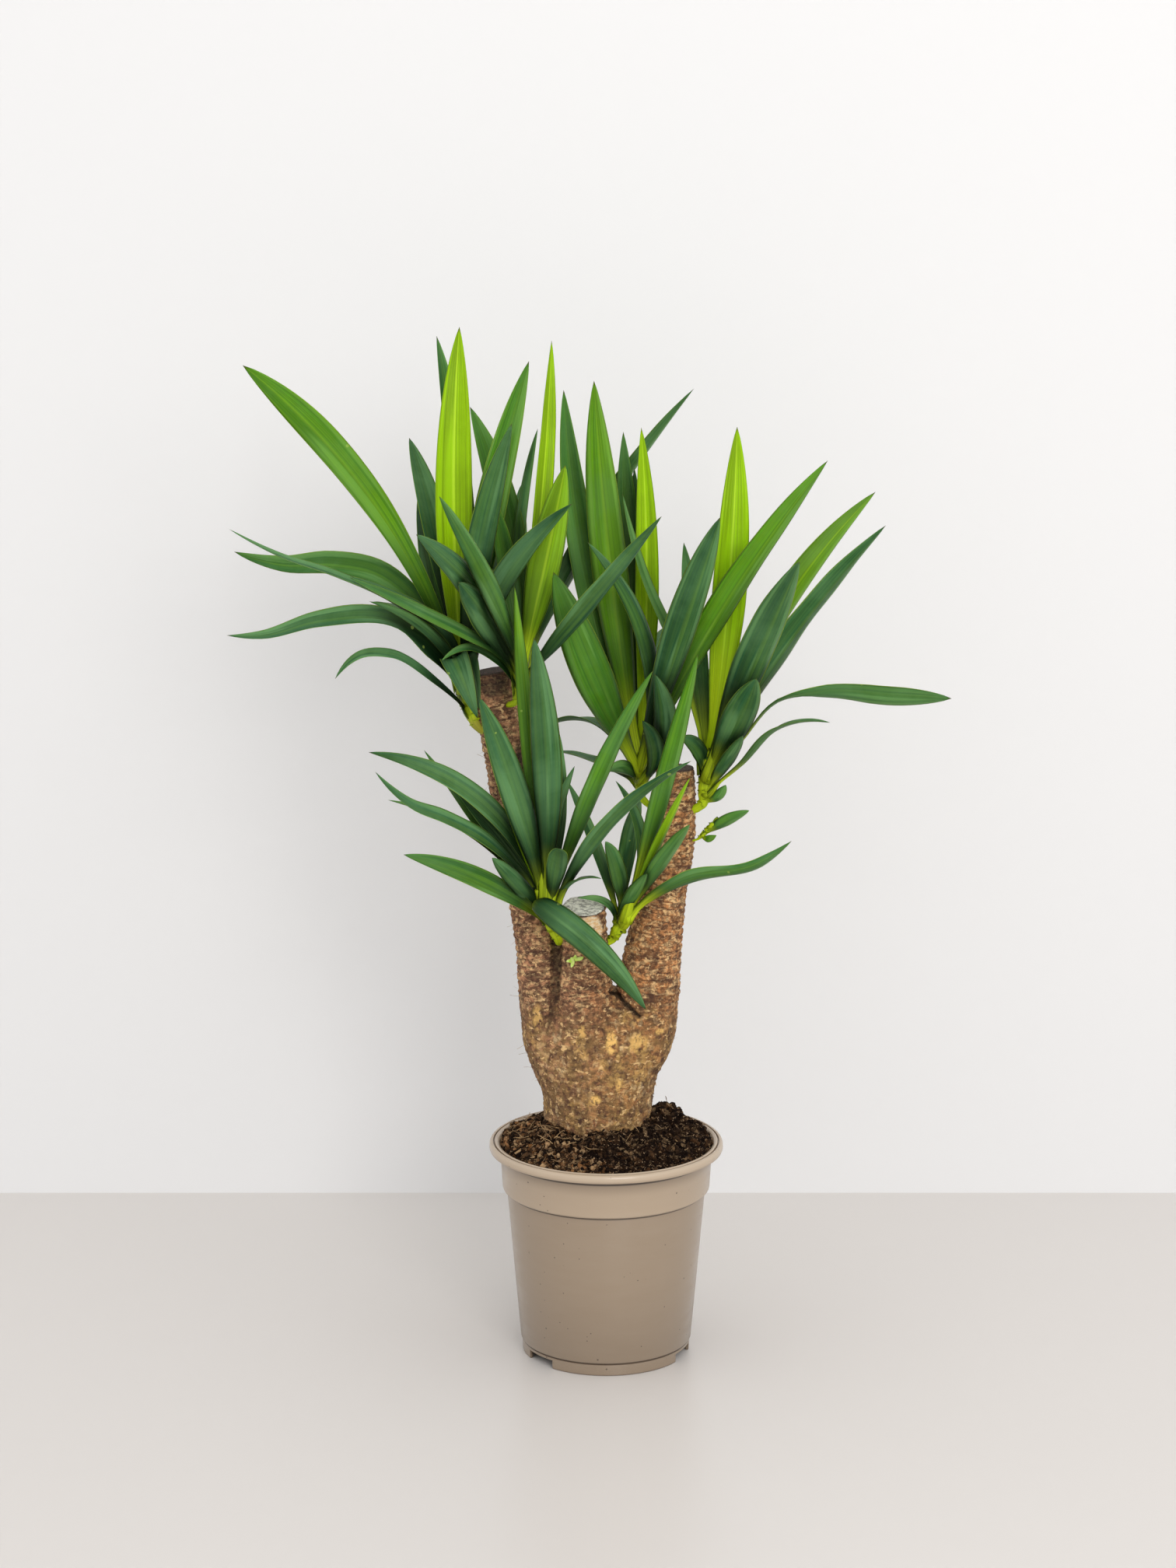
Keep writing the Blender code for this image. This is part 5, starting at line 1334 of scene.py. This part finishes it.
def ovals(places, patches, far, near):
    """The strongest, at each place, of some ovals on the front, each fading from near to far."""
    masks = []
    for x, z, wide, tall, strength in patches:
        away = np.hypot((places[:, 0] - x) / wide, (places[:, 2] - z) / tall)
        masks.append(strength * smooth_step(far, near, away))
    return np.max(masks, axis=0)


def mark_bark(mesh):
    """Keeps what the bark's relief and colours follow: place along its branch, cuts and patches."""
    places = points_of(mesh)
    nearest = np.full(len(places), 1e9)
    along = places[:, 2].copy()
    sawn = np.zeros(len(places))
    for stations, tilt in BRANCHES:
        path = smooth_path(stations, 160)
        heights = path[0, 2] + lengths_along(path)
        gaps = np.linalg.norm(places[:, None, :] - path[None, :, :3], axis=2) / path[None, :, 3]
        at = gaps.argmin(axis=1)
        ratio = gaps[np.arange(len(places)), at]
        closer = ratio < nearest
        along = np.where(closer & (ratio < NEAR_BRANCH), heights[at], along)
        nearest = np.minimum(nearest, ratio)
        top = path[-1, :3]
        up = path[-1, :3] - path[-2, :3]
        up = up / np.linalg.norm(up)
        if tilt:
            up = np.array([0.0, math.sin(tilt), math.cos(tilt)])
        over = (places - top) @ up
        aside = np.linalg.norm(places - top, axis=1)
        flat = smooth_step(*CUT_FADE, over) * (aside < path[-1, 3] * NEAR_BRANCH)
        sawn = np.maximum(sawn, (2.0 if tilt else 1.0) * flat)
    store(mesh, "along", along)
    store(mesh, "sawn", sawn)
    store(mesh, "base", smooth_step(*BASE_FADE, places[:, 2]))
    front = smooth_step(*FRONT_FADE, places[:, 1])
    low = 0.15 * smooth_step(*LOW_OCHRE_FADE, places[:, 2])
    ochre = np.maximum(ovals(places, OCHRE_PATCHES, 1.25, 0.55), low)
    store(mesh, "ochre", ochre * np.maximum(front, 0.5))
    store(mesh, "peeled", ovals(places, PEELED_PATCHES, 1.1, 0.7) * front * (sawn < 0.5))

    # Painted shade: darker in the slit and down the furrow, both also cut in below, and painted shadow under
    # the leaves
    start, end, wide, deep = SLIT
    slit = smooth_step(wide * 1.5, wide * 0.3, line_distance(places, start, end)) * front
    away = np.min([line_distance(places, start, end) for start, end in zip(FURROW, FURROW[1:])], axis=0)
    furrow = smooth_step(FURROW_WIDTH, 0.0, away) * smooth_step(*FURROW_FADE, places[:, 2]) * front
    dark = smooth_step(FURROW_WIDTH * 0.8, FURROW_WIDTH * 0.1, away) * furrow
    leaf_shadow = ovals(places, LEAF_SHADOW_PLACES, 1.3, 0.5) * front
    store(mesh, "shade", np.max([slit, 0.8 * dark, leaf_shadow], axis=0))
    normals = np.empty(len(places) * 3)
    mesh.vertices.foreach_get("normal", normals)
    places -= normals.reshape(-1, 3) * (slit * deep + furrow * FURROW_DEPTH)[:, None]
    mesh.vertices.foreach_set("co", places.ravel())
    store(mesh, "fibrous", smooth_step(*HAIRY_FADE, places[:, 0]) * (sawn < 0.5) + 0.06)
    store(mesh, "bits", (sawn < 0.3) * (places[:, 2] > FLAKES_FROM) * 1.0)


def build_trunk(props, bark, fibre):
    """The trunk under its bark relief, with loose flakes and a few hairs."""
    trunk = trunk_body()
    mark_bark(trunk.data)
    hairs = {
        "Density": props.hair_density,
        "Length": 0.011,
        "Thickness": 0.00022,
        "Rise": 1.1,
        "Curl": 0.005,
        "Seed": 9,
        "Material": fibre,
    }
    flakes = {
        "Density": props.flake_density,
        "Smallest": 0.0005,
        "Largest": 0.0026,
        "Flatness": 0.22,
        "Tumble": 0.30,
        "Lumpiness": 0.0008,
        "Rounds": 1,
        "Seed": 21,
        "Material": bark,
    }
    loose_bits(trunk, "bark_hairs", build_fibre_tree(), hairs)
    loose_bits(trunk, "bark_flakes", build_scatter_tree(), flakes)
    relief = {
        "Ring Spacing": props.ring_spacing,
        "Ring Depth": props.ring_depth,
        "Line Spacing": props.line_spacing,
        "Line Depth": props.line_depth,
        "Lump Depth": props.lump_depth,
        "Grain Depth": props.grain_depth,
        "Material": bark,
    }
    run_tree(trunk, build_bark_tree(), relief)
    finish_piece(trunk, replaced=("trunk",))


class BladeMesh:
    """Gathers closed blades and stems into one mesh, with their own plane and point values."""

    NAMES = ("youth", "seed", "width", "reach", "woody")

    def __init__(self):
        self.points = []
        self.faces = []
        self.plane = []
        self.values = {name: [] for name in self.NAMES}

    def add(self, rings, across, along, tip=None, woody=None, **values):
        start = len(self.points)
        count = len(rings[0])
        for k, ring in enumerate(rings):
            for point, u in zip(ring, across):
                self._point(point, u, along[k], woody[k] if woody is not None else 0.0, values)
        for k in range(len(rings) - 1):
            for i in range(count):
                j = (i + 1) % count
                low = start + k * count
                self.faces.append((low + i, low + j, low + count + j, low + count + i))
        self.faces.append(tuple(range(start + count - 1, start - 1, -1)))
        last = start + (len(rings) - 1) * count
        if tip is None:
            self.faces.append(tuple(range(last, last + count)))
            return
        self._point(tip, 0.5, 1.0, 0.0, values)
        for i in range(count):
            self.faces.append((last + i, last + (i + 1) % count, len(self.points) - 1))

    def _point(self, place, u, v, woody, values):
        self.points.append(tuple(place))
        self.plane.append((u, v))
        self.values["woody"].append(woody)
        for name, value in values.items():
            self.values[name].append(value)

    def finish(self, name):
        mesh = bpy.data.meshes.new(name)
        mesh.from_pydata(self.points, [], self.faces)
        shape = bmesh.new()
        shape.from_mesh(mesh)
        bmesh.ops.recalc_face_normals(shape, faces=shape.faces[:])
        shape.to_mesh(mesh)
        shape.free()
        corners = np.empty(len(mesh.loops), dtype=np.int32)
        mesh.loops.foreach_get("vertex_index", corners)
        layer = mesh.uv_layers.new(name="blade")
        layer.data.foreach_set("uv", np.array(self.plane, dtype=np.float32)[corners].ravel())
        for key, values in self.values.items():
            store(mesh, key, values)
        mesh.shade_smooth()
        return linked(name, mesh)


def leaf_path(foot, points):
    """A function from 0..1 to the leaf's midline: one smooth curve from its foot to its tip."""
    knots = np.array([foot] + points)
    at = shares_along(knots)
    slopes = np.gradient(knots, at, axis=0, edge_order=2)

    def place(t):
        return Vector(curve_point(knots, at, slopes, t))

    return place


def heading_at(place, t):
    """Which way the midline runs at t."""
    return (place(min(1.0, t + 0.01)) - place(max(0.0, t - 0.01))).normalized()


def leaf_width(t, widest):
    """The share of the full width at t: a narrow clasping foot, a broad middle, a pointed tip."""
    if t < widest:
        u = t / widest
        return LEAF_BASE_SHARE + (1.0 - LEAF_BASE_SHARE) * u * u * (3.0 - 2.0 * u)
    u = (t - widest) / (1.0 - widest)
    return max(0.0, 1.0 - u**2.2) ** 0.85


def leaf_frames(place, turn_foot, turn_tip, twist):
    """Across and face directions at each of the steps, carried along the midline unrolled."""
    broad = heading_at(place, 0.0).cross(AWAY).normalized()
    frames = []
    for t in FRAME_STEPS:
        ahead = heading_at(place, t)
        broad = (broad - ahead * broad.dot(ahead)).normalized()
        share = float(smooth_step(*twist, t))
        turn = math.radians(turn_foot + (turn_tip - turn_foot) * share)
        frames.append(broad * math.cos(turn) + ahead.cross(broad) * math.sin(turn))
    return np.array(frames)


def add_blade(
    blades,
    foot,
    points,
    width,
    turns,
    inward,
    youth,
    seed,
    clasp,
    reach,
    sheath=False,
    twist=TWIST,
    widest=LEAF_WIDEST,
):
    """One channelled strap leaf: its foot clasps the stem, its edges thin out, its tip is pointed."""
    place = leaf_path(foot, points)
    frames = leaf_frames(place, *turns, twist)
    steps = np.linspace(0.0, 1.0, SHEATH_ROWS if sheath else LEAF_ROWS) ** 0.9
    columns = np.linspace(-1.0, 1.0, LEAF_COLUMNS)
    loop = np.concatenate([columns, columns[-2:0:-1]])
    upper = np.concatenate([np.ones(LEAF_COLUMNS), -np.ones(LEAF_COLUMNS - 2)])
    wave = random.Random(int(seed * 1000))
    ripple = wave.uniform(0.02, 0.06)
    pitch = wave.uniform(2.0, 4.5)
    middle = Vector(frames[4]).cross(heading_at(place, 0.5))
    side = 1.0 if middle.dot(inward) > 0.0 else -1.0
    rings = []
    for t in steps[:-1]:
        ahead = heading_at(place, t)
        across = Vector([np.interp(t, FRAME_STEPS, frames[:, k]) for k in range(3)])
        across = (across - ahead * across.dot(ahead)).normalized()
        face = across.cross(ahead) * side
        near_foot = 1.0 - float(smooth_step(0.0, FOOT_PART, t))
        broad = leaf_width(t, widest)
        half = 0.5 * width * broad
        half = half + near_foot * max(0.0, 1.15 * clasp - half)
        folded = 1.0 - float(smooth_step(0.0, OPENING_PART, t))
        fold = LEAF_FOLD + (LEAF_CLASP - LEAF_FOLD) * folded
        span = SHEATH_FOLD if sheath else fold
        rise = half * (1.0 - math.cos(span)) / span
        drop = rise * 0.5 * (1.0 - near_foot) + near_foot * clasp * 1.02
        keel = LEAF_KEEL * (1.0 - near_foot)
        thick = 0.5 * (EDGE_THICKNESS + MIDDLE_THICKNESS * broad) * (1.0 + 0.8 * near_foot)
        ring = []
        for s, up in zip(loop, upper):
            lateral = half * math.sin(span * s) / span
            depth = half * (1.0 - math.cos(span * s)) / span * (1.0 - keel) + rise * abs(s) * keel - drop
            depth += half * ripple * s * s * math.sin(math.tau * (pitch * t + seed) + s)
            depth += up * thick * (1.0 - 0.75 * s * s)
            ring.append(place(t) + across * lateral + face * depth)
        rings.append(ring)
    blades.add(
        rings,
        0.5 + 0.5 * loop,
        steps[:-1] * (0.12 if sheath else 1.0),
        tip=place(1.0),
        youth=youth,
        seed=seed,
        width=width,
        reach=reach,
    )


def seen_point(root, offset):
    """A leaf's point. Across and up are as the eye sees them at the root's distance, so a point
    further back lies further along the same line of sight."""
    across, back, up = offset
    flat_up = (up + math.tan(LOOK_DOWN) * back) * math.cos(LOOK_DOWN)
    sight = root - EYE + Vector((across, flat_up * math.sin(LOOK_DOWN), flat_up * math.cos(LOOK_DOWN)))
    return EYE + sight * (root.y - EYE.y + back) / sight.y


def rule_points(azimuth, lean, length):
    """Via point and tip, in centimetres, of a leaf that arches out the way the azimuth says."""
    out = Vector((math.cos(math.radians(azimuth)), math.sin(math.radians(azimuth)), 0.0))
    early = math.radians(lean * 0.7)
    late = math.radians(lean * 1.25)
    via = (out * math.sin(early) + UP * math.cos(early)) * length * 0.5
    tip = via + (out * math.sin(late) + UP * math.cos(late)) * length * 0.5
    return via, tip


def foot_spread(share):
    """How wide the leaf feet stand round the stem, narrow at the bark and full where the last grow."""
    return 0.48 + 0.52 * min(1.0, share / FOOT_SHARE)


def add_stem(blades, head, rng):
    """The green stem from the bark to its growing tip, ringed where old leaves came away."""
    inside, bark, top = (Vector(point) * CM for point in head["stem"])
    radius = head["radius"] * CM
    stations = [(*inside, radius * 0.30), (*bark, radius * 0.42)]
    for share, slim in ((0.2, 0.58), (0.45, 0.55), (0.8, 0.25)):
        stations.append((*(bark + (top - bark) * share), radius * slim))
    path = smooth_path(stations, STEM_ROWS)
    path[:, 3] *= 1.0 + 0.05 * np.sin(np.arange(STEM_ROWS) * 2.1)
    rings = tube_rings(path, STEM_SIDES)
    woody = np.zeros(STEM_ROWS)
    if head.get("woody"):
        woody = head["woody"] * (1.0 - smooth_step(0.28, 0.42, np.linspace(0.0, 1.0, STEM_ROWS)))
    blades.add(
        rings,
        0.5 + 0.34 * np.sin(np.linspace(0.0, 10 * math.pi, STEM_SIDES)),
        np.linspace(0.02, 0.08, STEM_ROWS),
        woody=woody,
        youth=0.6,
        seed=rng.random(),
        width=radius,
        reach=0.25,
    )


def add_sheaths(blades, head, rng):
    """Short pale scale leaves that wrap the stem between the bark and the first full leaves."""
    bark, top = (Vector(point) * CM for point in head["stem"][1:])
    axis = (top - bark).normalized()
    radius = head["radius"] * CM
    aside = axis.cross(AWAY).normalized()
    ahead = axis.cross(aside)
    for k in range(SHEATHS):
        turn = GOLDEN_TURN * k + rng.uniform(-0.3, 0.3)
        out = aside * math.cos(turn) + ahead * math.sin(turn)
        rise = SHEATH_START + SHEATH_STEP * k
        foot = bark + axis * rise
        wide = radius * foot_spread(rise / (top - bark).length)
        length = radius * rng.uniform(2.0, 3.2)
        middle = foot + axis * length * 0.5 + out * radius * 0.25
        points = [middle, foot + axis * length + out * radius * 0.7]
        broad = (middle - foot).normalized().cross(AWAY).normalized()
        wanted = axis.cross(out)
        angle = math.degrees(math.atan2(axis.cross(broad).dot(wanted), broad.dot(wanted)))
        turns = (angle, angle)
        youth = rng.uniform(0.3, 0.9)
        add_blade(blades, foot, points, wide * 2.3, turns, -out, youth, rng.random(), wide, 0.2, sheath=True)


def build_head(name, head, material):
    """One leafy head: its stem, the sheaths round it and every leaf."""
    rng = random.Random(name)
    blades = BladeMesh()
    add_stem(blades, head, rng)
    add_sheaths(blades, head, rng)
    root = Vector(head["root"])
    bark = Vector(head["stem"][1]) * CM
    top = Vector(head["stem"][2]) * CM
    clasp = head["radius"] * CM
    for youth, share, width, turn_foot, turn_tip, passed, *apart in head["leaves"]:
        foot = bark + (top - bark) * share * FOOT_SHARE
        points = [seen_point(root, offset) * CM for offset in passed]
        heading = points[-1] - foot
        inward = Vector((-heading.x, -heading.y, 0.6 * Vector((heading.x, heading.y)).length + 0.01))
        around = clasp * foot_spread(share * FOOT_SHARE) * 0.92
        turns = (turn_foot, turn_tip)
        more = {"reach": head["reach"]} | (apart[0] if apart else {})
        add_blade(blades, foot, points, width * CM, turns, inward, youth, rng.random(), around, **more)
    for azimuth, lean, length, width in head["behind"]:
        foot = bark + (top - bark) * FOOT_SHARE * (0.95 - lean / 140.0)
        via, tip = rule_points(azimuth, lean, length)
        points = [foot + via * CM, foot + tip * CM]
        heading = points[-1] - foot
        inward = Vector((-heading.x, -heading.y, heading.length))
        turns = (azimuth - 90.0, azimuth - 90.0)
        youth = rng.uniform(0.1, 0.4)
        seed = rng.random()
        add_blade(blades, foot, points, width * CM, turns, inward, youth, seed, clasp * 0.7, head["reach"])
    made = blades.finish(name + "_leaves")
    finish_piece(made, material, replaced=(name,))
    return made


def smooth_over_edges(mesh, values, rounds):
    """Evens out one number to a point by averaging it with its neighbours' a few times."""
    ends = np.empty(len(mesh.edges) * 2, dtype=np.int64)
    mesh.edges.foreach_get("vertices", ends)
    first = ends[0::2]
    last = ends[1::2]
    count = np.bincount(ends, minlength=len(values)) + 1
    for _ in range(rounds):
        total = np.bincount(first, values[last], len(values)) + np.bincount(last, values[first], len(values))
        values = (values + total) / count
    return values


def mark_crowding(pieces):
    """Keeps, at each point of every head, how much other leaves close by hide it."""
    points = []
    faces = []
    for piece in pieces:
        start = len(points)
        points.extend(vertex.co.copy() for vertex in piece.data.vertices)
        faces.extend([start + i for i in face.vertices] for face in piece.data.polygons)
    shape = BVHTree.FromPolygons(points, faces)
    spread = []
    for i in range(CROWD_RAYS):
        rise = (i + 0.5) / CROWD_RAYS
        flat = math.sqrt(1.0 - rise * rise)
        spread.append((flat * math.cos(GOLDEN_TURN * i), flat * math.sin(GOLDEN_TURN * i), rise))
    whole = sum(rise for _, _, rise in spread)
    for piece in pieces:
        crowd = np.zeros(len(piece.data.vertices))
        for vertex in piece.data.vertices:
            normal = vertex.normal
            side = normal.orthogonal().normalized()
            other = normal.cross(side)
            start = vertex.co + normal * 0.0008
            hidden = 0.0
            for a, b, rise in spread:
                distance = shape.ray_cast(start, side * a + other * b + normal * rise, CROWD_REACH)[3]
                if distance is not None:
                    hidden += rise * (1.0 - distance / CROWD_REACH)
            crowd[vertex.index] = hidden / whole
        store(piece.data, "crowd", smooth_over_edges(piece.data, crowd, 5))


def build_bud(material):
    """The ragged green bud that breaks through the stub's bark."""
    rng = random.Random(8)
    blades = BladeMesh()
    inward = Vector((0.0, -1.0, 0.2))
    for k in range(BUD_SCALES):
        turn = rng.uniform(-0.5, math.pi + 0.5) if k < 6 else rng.uniform(math.pi, math.tau)
        length = rng.uniform(0.004, 0.0095)
        tip = BUD_HEART + Vector((math.cos(turn) * length, -0.0030, math.sin(turn) * length * 0.8))
        via = BUD_HEART + (tip - BUD_HEART) * 0.5 + Vector((0.0, -0.0012, 0.0))
        finish = (0.9, rng.random(), BUD_CLASP, 0.3)
        add_blade(blades, BUD_HEART, [via, tip], BUD_WIDTH, (0, 25), inward, *finish, sheath=True)
    finish_piece(blades.finish("bud_scar"), material)


# Stage


def aimed_light(name, place, target, size, power, colour=(1.0, 1.0, 1.0)):
    data = bpy.data.lights.new(name, "AREA")
    data.shape = "RECTANGLE"
    data.size = size[0]
    data.size_y = size[1]
    data.energy = power
    data.color = colour
    light = linked(name, data)
    light.location = place
    light.rotation_euler = (Vector(target) - Vector(place)).to_track_quat("-Z", "Y").to_euler()


def flat_sheet(name, corners, material):
    mesh = bpy.data.meshes.new(name)
    mesh.from_pydata(corners, [], [(0, 1, 2, 3)])
    mesh.materials.append(material)
    linked(name, mesh)


def build_stage(props):
    """A pale floor, a plain wall behind, soft light from the front, right and above, and the camera."""
    floor = stage_material("studio_floor", props.floor_colour, 0.32)
    wall = stage_material("studio_wall", props.wall_colour, 0.9, one_sided=True)
    side = ROOM_SIDE
    flat_sheet("floor", [(-side, -side, 0), (side, -side, 0), (side, side, 0), (-side, side, 0)], floor)
    y = props.wall_distance
    flat_sheet("wall", [(-side, y, 0), (side, y, 0), (side, y, ROOM_HEIGHT), (-side, y, ROOM_HEIGHT)], wall)

    world = bpy.data.worlds.new("studio")
    world.use_nodes = True
    sky = world.node_tree.nodes["Background"]
    sky.inputs[0].default_value = (1.0, 0.995, 0.99, 1.0)
    sky.inputs[1].default_value = props.ambient
    scene = bpy.context.scene
    scene.world = world
    scene.view_settings.view_transform = "Standard"
    scene.view_settings.look = "None"
    aimed_light("key", (2.8, -3.8, 3.0), LIGHT_AIM, (4.2, 4.2), props.key_power, (1.0, 0.975, 0.945))
    aimed_light("front", (0.9, -3.5, 1.9), LIGHT_AIM, (1.6, 1.6), props.front_power, (1.0, 0.985, 0.96))
    aimed_light("top", (0.1, -0.3, 3.4), TOP_LIGHT_AIM, (3.0, 1.0), props.top_power)

    camera = bpy.data.cameras.new("camera")
    camera.sensor_fit = "HORIZONTAL"
    camera.sensor_width = SENSOR_WIDTH
    camera.lens = SENSOR_WIDTH * FOCAL_PIXELS / PHOTO_WIDTH
    scene.camera = linked("camera", camera)
    scene.camera.location = CAMERA_PLACE
    scene.camera.rotation_euler = (math.radians(90.0) - LOOK_DOWN, 0.0, 0.0)


# Settings


def colour_prop(label, note, default):
    return bpy.props.FloatVectorProperty(
        name=label, description=note, subtype="COLOR", size=3, min=0.0, max=1.0, default=default
    )


def length_prop(label, note, default):
    return bpy.props.FloatProperty(name=label, description=note, default=default, unit="LENGTH", precision=5)


def number_prop(label, note, default):
    return bpy.props.FloatProperty(name=label, description=note, default=default, min=0.0)


class PotSettings(bpy.types.PropertyGroup):
    colour: colour_prop("Plastic", "Colour of the pot's plastic", (0.290, 0.218, 0.150))
    notch_width: length_prop("Notch width", "Width of each notch in the foot", 0.033)
    notch_height: length_prop("Notch height", "Height of each notch in the foot", 0.0085)


class SoilSettings(bpy.types.PropertyGroup):
    dark_colour: colour_prop("Wet peat", "Darkest colour of the peat", (0.006, 0.003, 0.002))
    brown_colour: colour_prop("Dry peat", "Colour of the drier crumbs", (0.255, 0.150, 0.080))
    rust_colour: colour_prop("Rusty peat", "Colour of the reddest crumbs", (0.31, 0.140, 0.050))
    fibre_colour: colour_prop("Fibres", "Colour of fibres and bark hairs", (0.46, 0.29, 0.13))
    crumb_density: number_prop("Crumbs", "Crumbs to the square metre", 66000.0)
    smallest_crumb: length_prop("Smallest crumb", "Half width of the smallest crumb", 0.0007)
    largest_crumb: length_prop("Largest crumb", "Half width of the largest crumb", 0.0044)
    fibre_density: number_prop("Fibres laid", "Fibres to the square metre", 7000.0)


class BarkSettings(bpy.types.PropertyGroup):
    bark_colour: colour_prop("Bark", "Main colour of the bark", (0.74, 0.322, 0.106))
    grey_colour: colour_prop("Grey bark", "Colour of the greyer bark at the left", (0.66, 0.315, 0.155))
    crack_colour: colour_prop("Cracks", "Colour in cracks and hollows", (0.060, 0.023, 0.012))
    flake_colour: colour_prop("Flakes", "Colour of raised flakes", (0.98, 0.66, 0.31))
    ochre_colour: colour_prop("Ochre", "Colour of the ochre places", (0.98, 0.60, 0.18))
    cut_colour: colour_prop("Weathered cut", "Colour of the stub's greyed top", (0.82, 0.82, 0.70))
    ring_spacing: length_prop("Ring spacing", "Distance between leaf-scar rings", 0.0066)
    ring_depth: length_prop("Ring depth", "Depth of the leaf-scar rings", 0.0006)
    line_spacing: length_prop("Line spacing", "Distance between the fine lines", 0.0027)
    line_depth: length_prop("Line depth", "Depth of the fine lines", 0.00014)
    lump_depth: length_prop("Lump depth", "Height of the broad lumps", 0.0019)
    grain_depth: length_prop("Grain depth", "Height of the rough grain", 0.0014)
    flake_density: number_prop("Flakes", "Loose flakes to the square metre", 14000.0)
    hair_density: number_prop("Hairs", "Loose hairs to the square metre", 2600.0)


class LeafSettings(bpy.types.PropertyGroup):
    old_colour: colour_prop("Old leaf", "Colour of old leaves", (0.032, 0.158, 0.066))
    grown_colour: colour_prop("Grown leaf", "Colour of grown leaves", (0.105, 0.360, 0.010))
    young_colour: colour_prop("Young leaf", "Colour of the youngest leaves", (0.50, 0.84, 0.001))
    # The colour of the old leaves' painted sheen and painted glossy streaks
    sheen_colour: colour_prop("Leaf bloom", "Colour of the waxy bloom on old leaves", (0.20, 0.43, 0.190))
    foot_colour: colour_prop("Leaf foot", "Colour where a leaf clasps its stem", (0.72, 0.88, 0.02))


class StageSettings(bpy.types.PropertyGroup):
    floor_colour: colour_prop("Floor", "Colour of the floor", (0.655, 0.625, 0.600))
    wall_colour: colour_prop("Wall", "Colour of the wall behind", (0.765, 0.765, 0.772))
    wall_distance: length_prop("Wall distance", "How far the wall stands behind the pot's axis", 0.426)
    ambient: number_prop("Ambient", "Strength of the even light", 1.0)
    key_power: number_prop("Key light", "Power of the light at the right, in watts", 20.0)
    front_power: number_prop("Front light", "Power of the light before the plant, in watts", 54.0)
    top_power: number_prop("Top light", "Power of the light overhead, in watts", 3.0)


class YuccaSettings(bpy.types.PropertyGroup):
    pot: bpy.props.PointerProperty(type=PotSettings, name="Pot", description="The nursery pot")
    soil: bpy.props.PointerProperty(type=SoilSettings, name="Soil", description="The peat in the pot")
    bark: bpy.props.PointerProperty(type=BarkSettings, name="Bark", description="The woody trunk")
    leaves: bpy.props.PointerProperty(type=LeafSettings, name="Leaves", description="The leafy heads")
    stage: bpy.props.PointerProperty(type=StageSettings, name="Stage", description="Floor, wall and light")


# Operators


def fibre_finish(context):
    """The fibres' material, made once for the peat and the bark."""
    colours = (context.scene.yucca.soil.fibre_colour, (0.10, 0.055, 0.025))
    return bpy.data.materials.get("yucca_fibre") or two_tone_material("yucca_fibre", 200.0, *colours, 0.8)


class YUCCA_OT_pot(bpy.types.Operator):
    """Build the nursery pot with its lip, collar, notches and drain holes"""

    bl_idname = "yucca.pot"
    bl_label = "Build Pot"

    def execute(self, context):
        props = context.scene.yucca.pot
        build_pot(props, pot_material(props))
        return {"FINISHED"}


class YUCCA_OT_soil(bpy.types.Operator):
    """Fill the pot with peat and scatter crumbs and fibres over it"""

    bl_idname = "yucca.soil"
    bl_label = "Fill Soil"

    def execute(self, context):
        props = context.scene.yucca.soil
        peat = peat_material("yucca_peat", props, 1.0)
        wet_peat = peat_material("yucca_wet_peat", props, 0.2)
        build_soil(props, peat, wet_peat, fibre_finish(context))
        return {"FINISHED"}


class YUCCA_OT_trunk(bpy.types.Operator):
    """Grow the trunk with its branches, bark, flakes and hairs"""

    bl_idname = "yucca.trunk"
    bl_label = "Grow Trunk"

    def execute(self, context):
        props = context.scene.yucca.bark
        build_trunk(props, bark_material(props), fibre_finish(context))
        build_bud(two_tone_material("yucca_bud", 300.0, (0.42, 0.66, 0.03), (0.80, 0.85, 0.35), 0.5))
        return {"FINISHED"}


class YUCCA_OT_leaves(bpy.types.Operator):
    """Grow every leafy head with its stem and strap leaves"""

    bl_idname = "yucca.leaves"
    bl_label = "Grow Leaves"

    def execute(self, context):
        material = leaf_material(context.scene.yucca.leaves)
        mark_crowding([build_head(name, head, material) for name, head in HEADS.items()])
        return {"FINISHED"}


class YUCCA_OT_stage(bpy.types.Operator):
    """Set the floor, the wall, the lights and the camera"""

    bl_idname = "yucca.stage"
    bl_label = "Set Stage"

    def execute(self, context):
        build_stage(context.scene.yucca.stage)
        return {"FINISHED"}


class YUCCA_PT_panel(bpy.types.Panel):
    """The plant's operators and settings"""

    bl_idname = "YUCCA_PT_panel"
    bl_label = "Potted Yucca"
    bl_space_type = "VIEW_3D"
    bl_region_type = "UI"
    bl_category = "Yucca"

    def draw(self, context):
        settings = context.scene.yucca
        for operator, group in (
            ("yucca.pot", settings.pot),
            ("yucca.soil", settings.soil),
            ("yucca.trunk", settings.bark),
            ("yucca.leaves", settings.leaves),
            ("yucca.stage", settings.stage),
        ):
            box = self.layout.box()
            box.operator(operator)
            for name in group.__annotations__:
                box.prop(group, name)


CLASSES = (
    PotSettings,
    SoilSettings,
    BarkSettings,
    LeafSettings,
    StageSettings,
    YuccaSettings,
    YUCCA_OT_pot,
    YUCCA_OT_soil,
    YUCCA_OT_trunk,
    YUCCA_OT_leaves,
    YUCCA_OT_stage,
    YUCCA_PT_panel,
)


def register():
    for kind in CLASSES:
        bpy.utils.register_class(kind)
    bpy.types.Scene.yucca = bpy.props.PointerProperty(type=YuccaSettings)


def unregister():
    del bpy.types.Scene.yucca
    for kind in reversed(CLASSES):
        bpy.utils.unregister_class(kind)


def main():
    register()
    bpy.ops.yucca.stage()
    bpy.ops.yucca.pot()
    bpy.ops.yucca.soil()
    bpy.ops.yucca.trunk()
    bpy.ops.yucca.leaves()


if __name__ == "__main__":
    main()
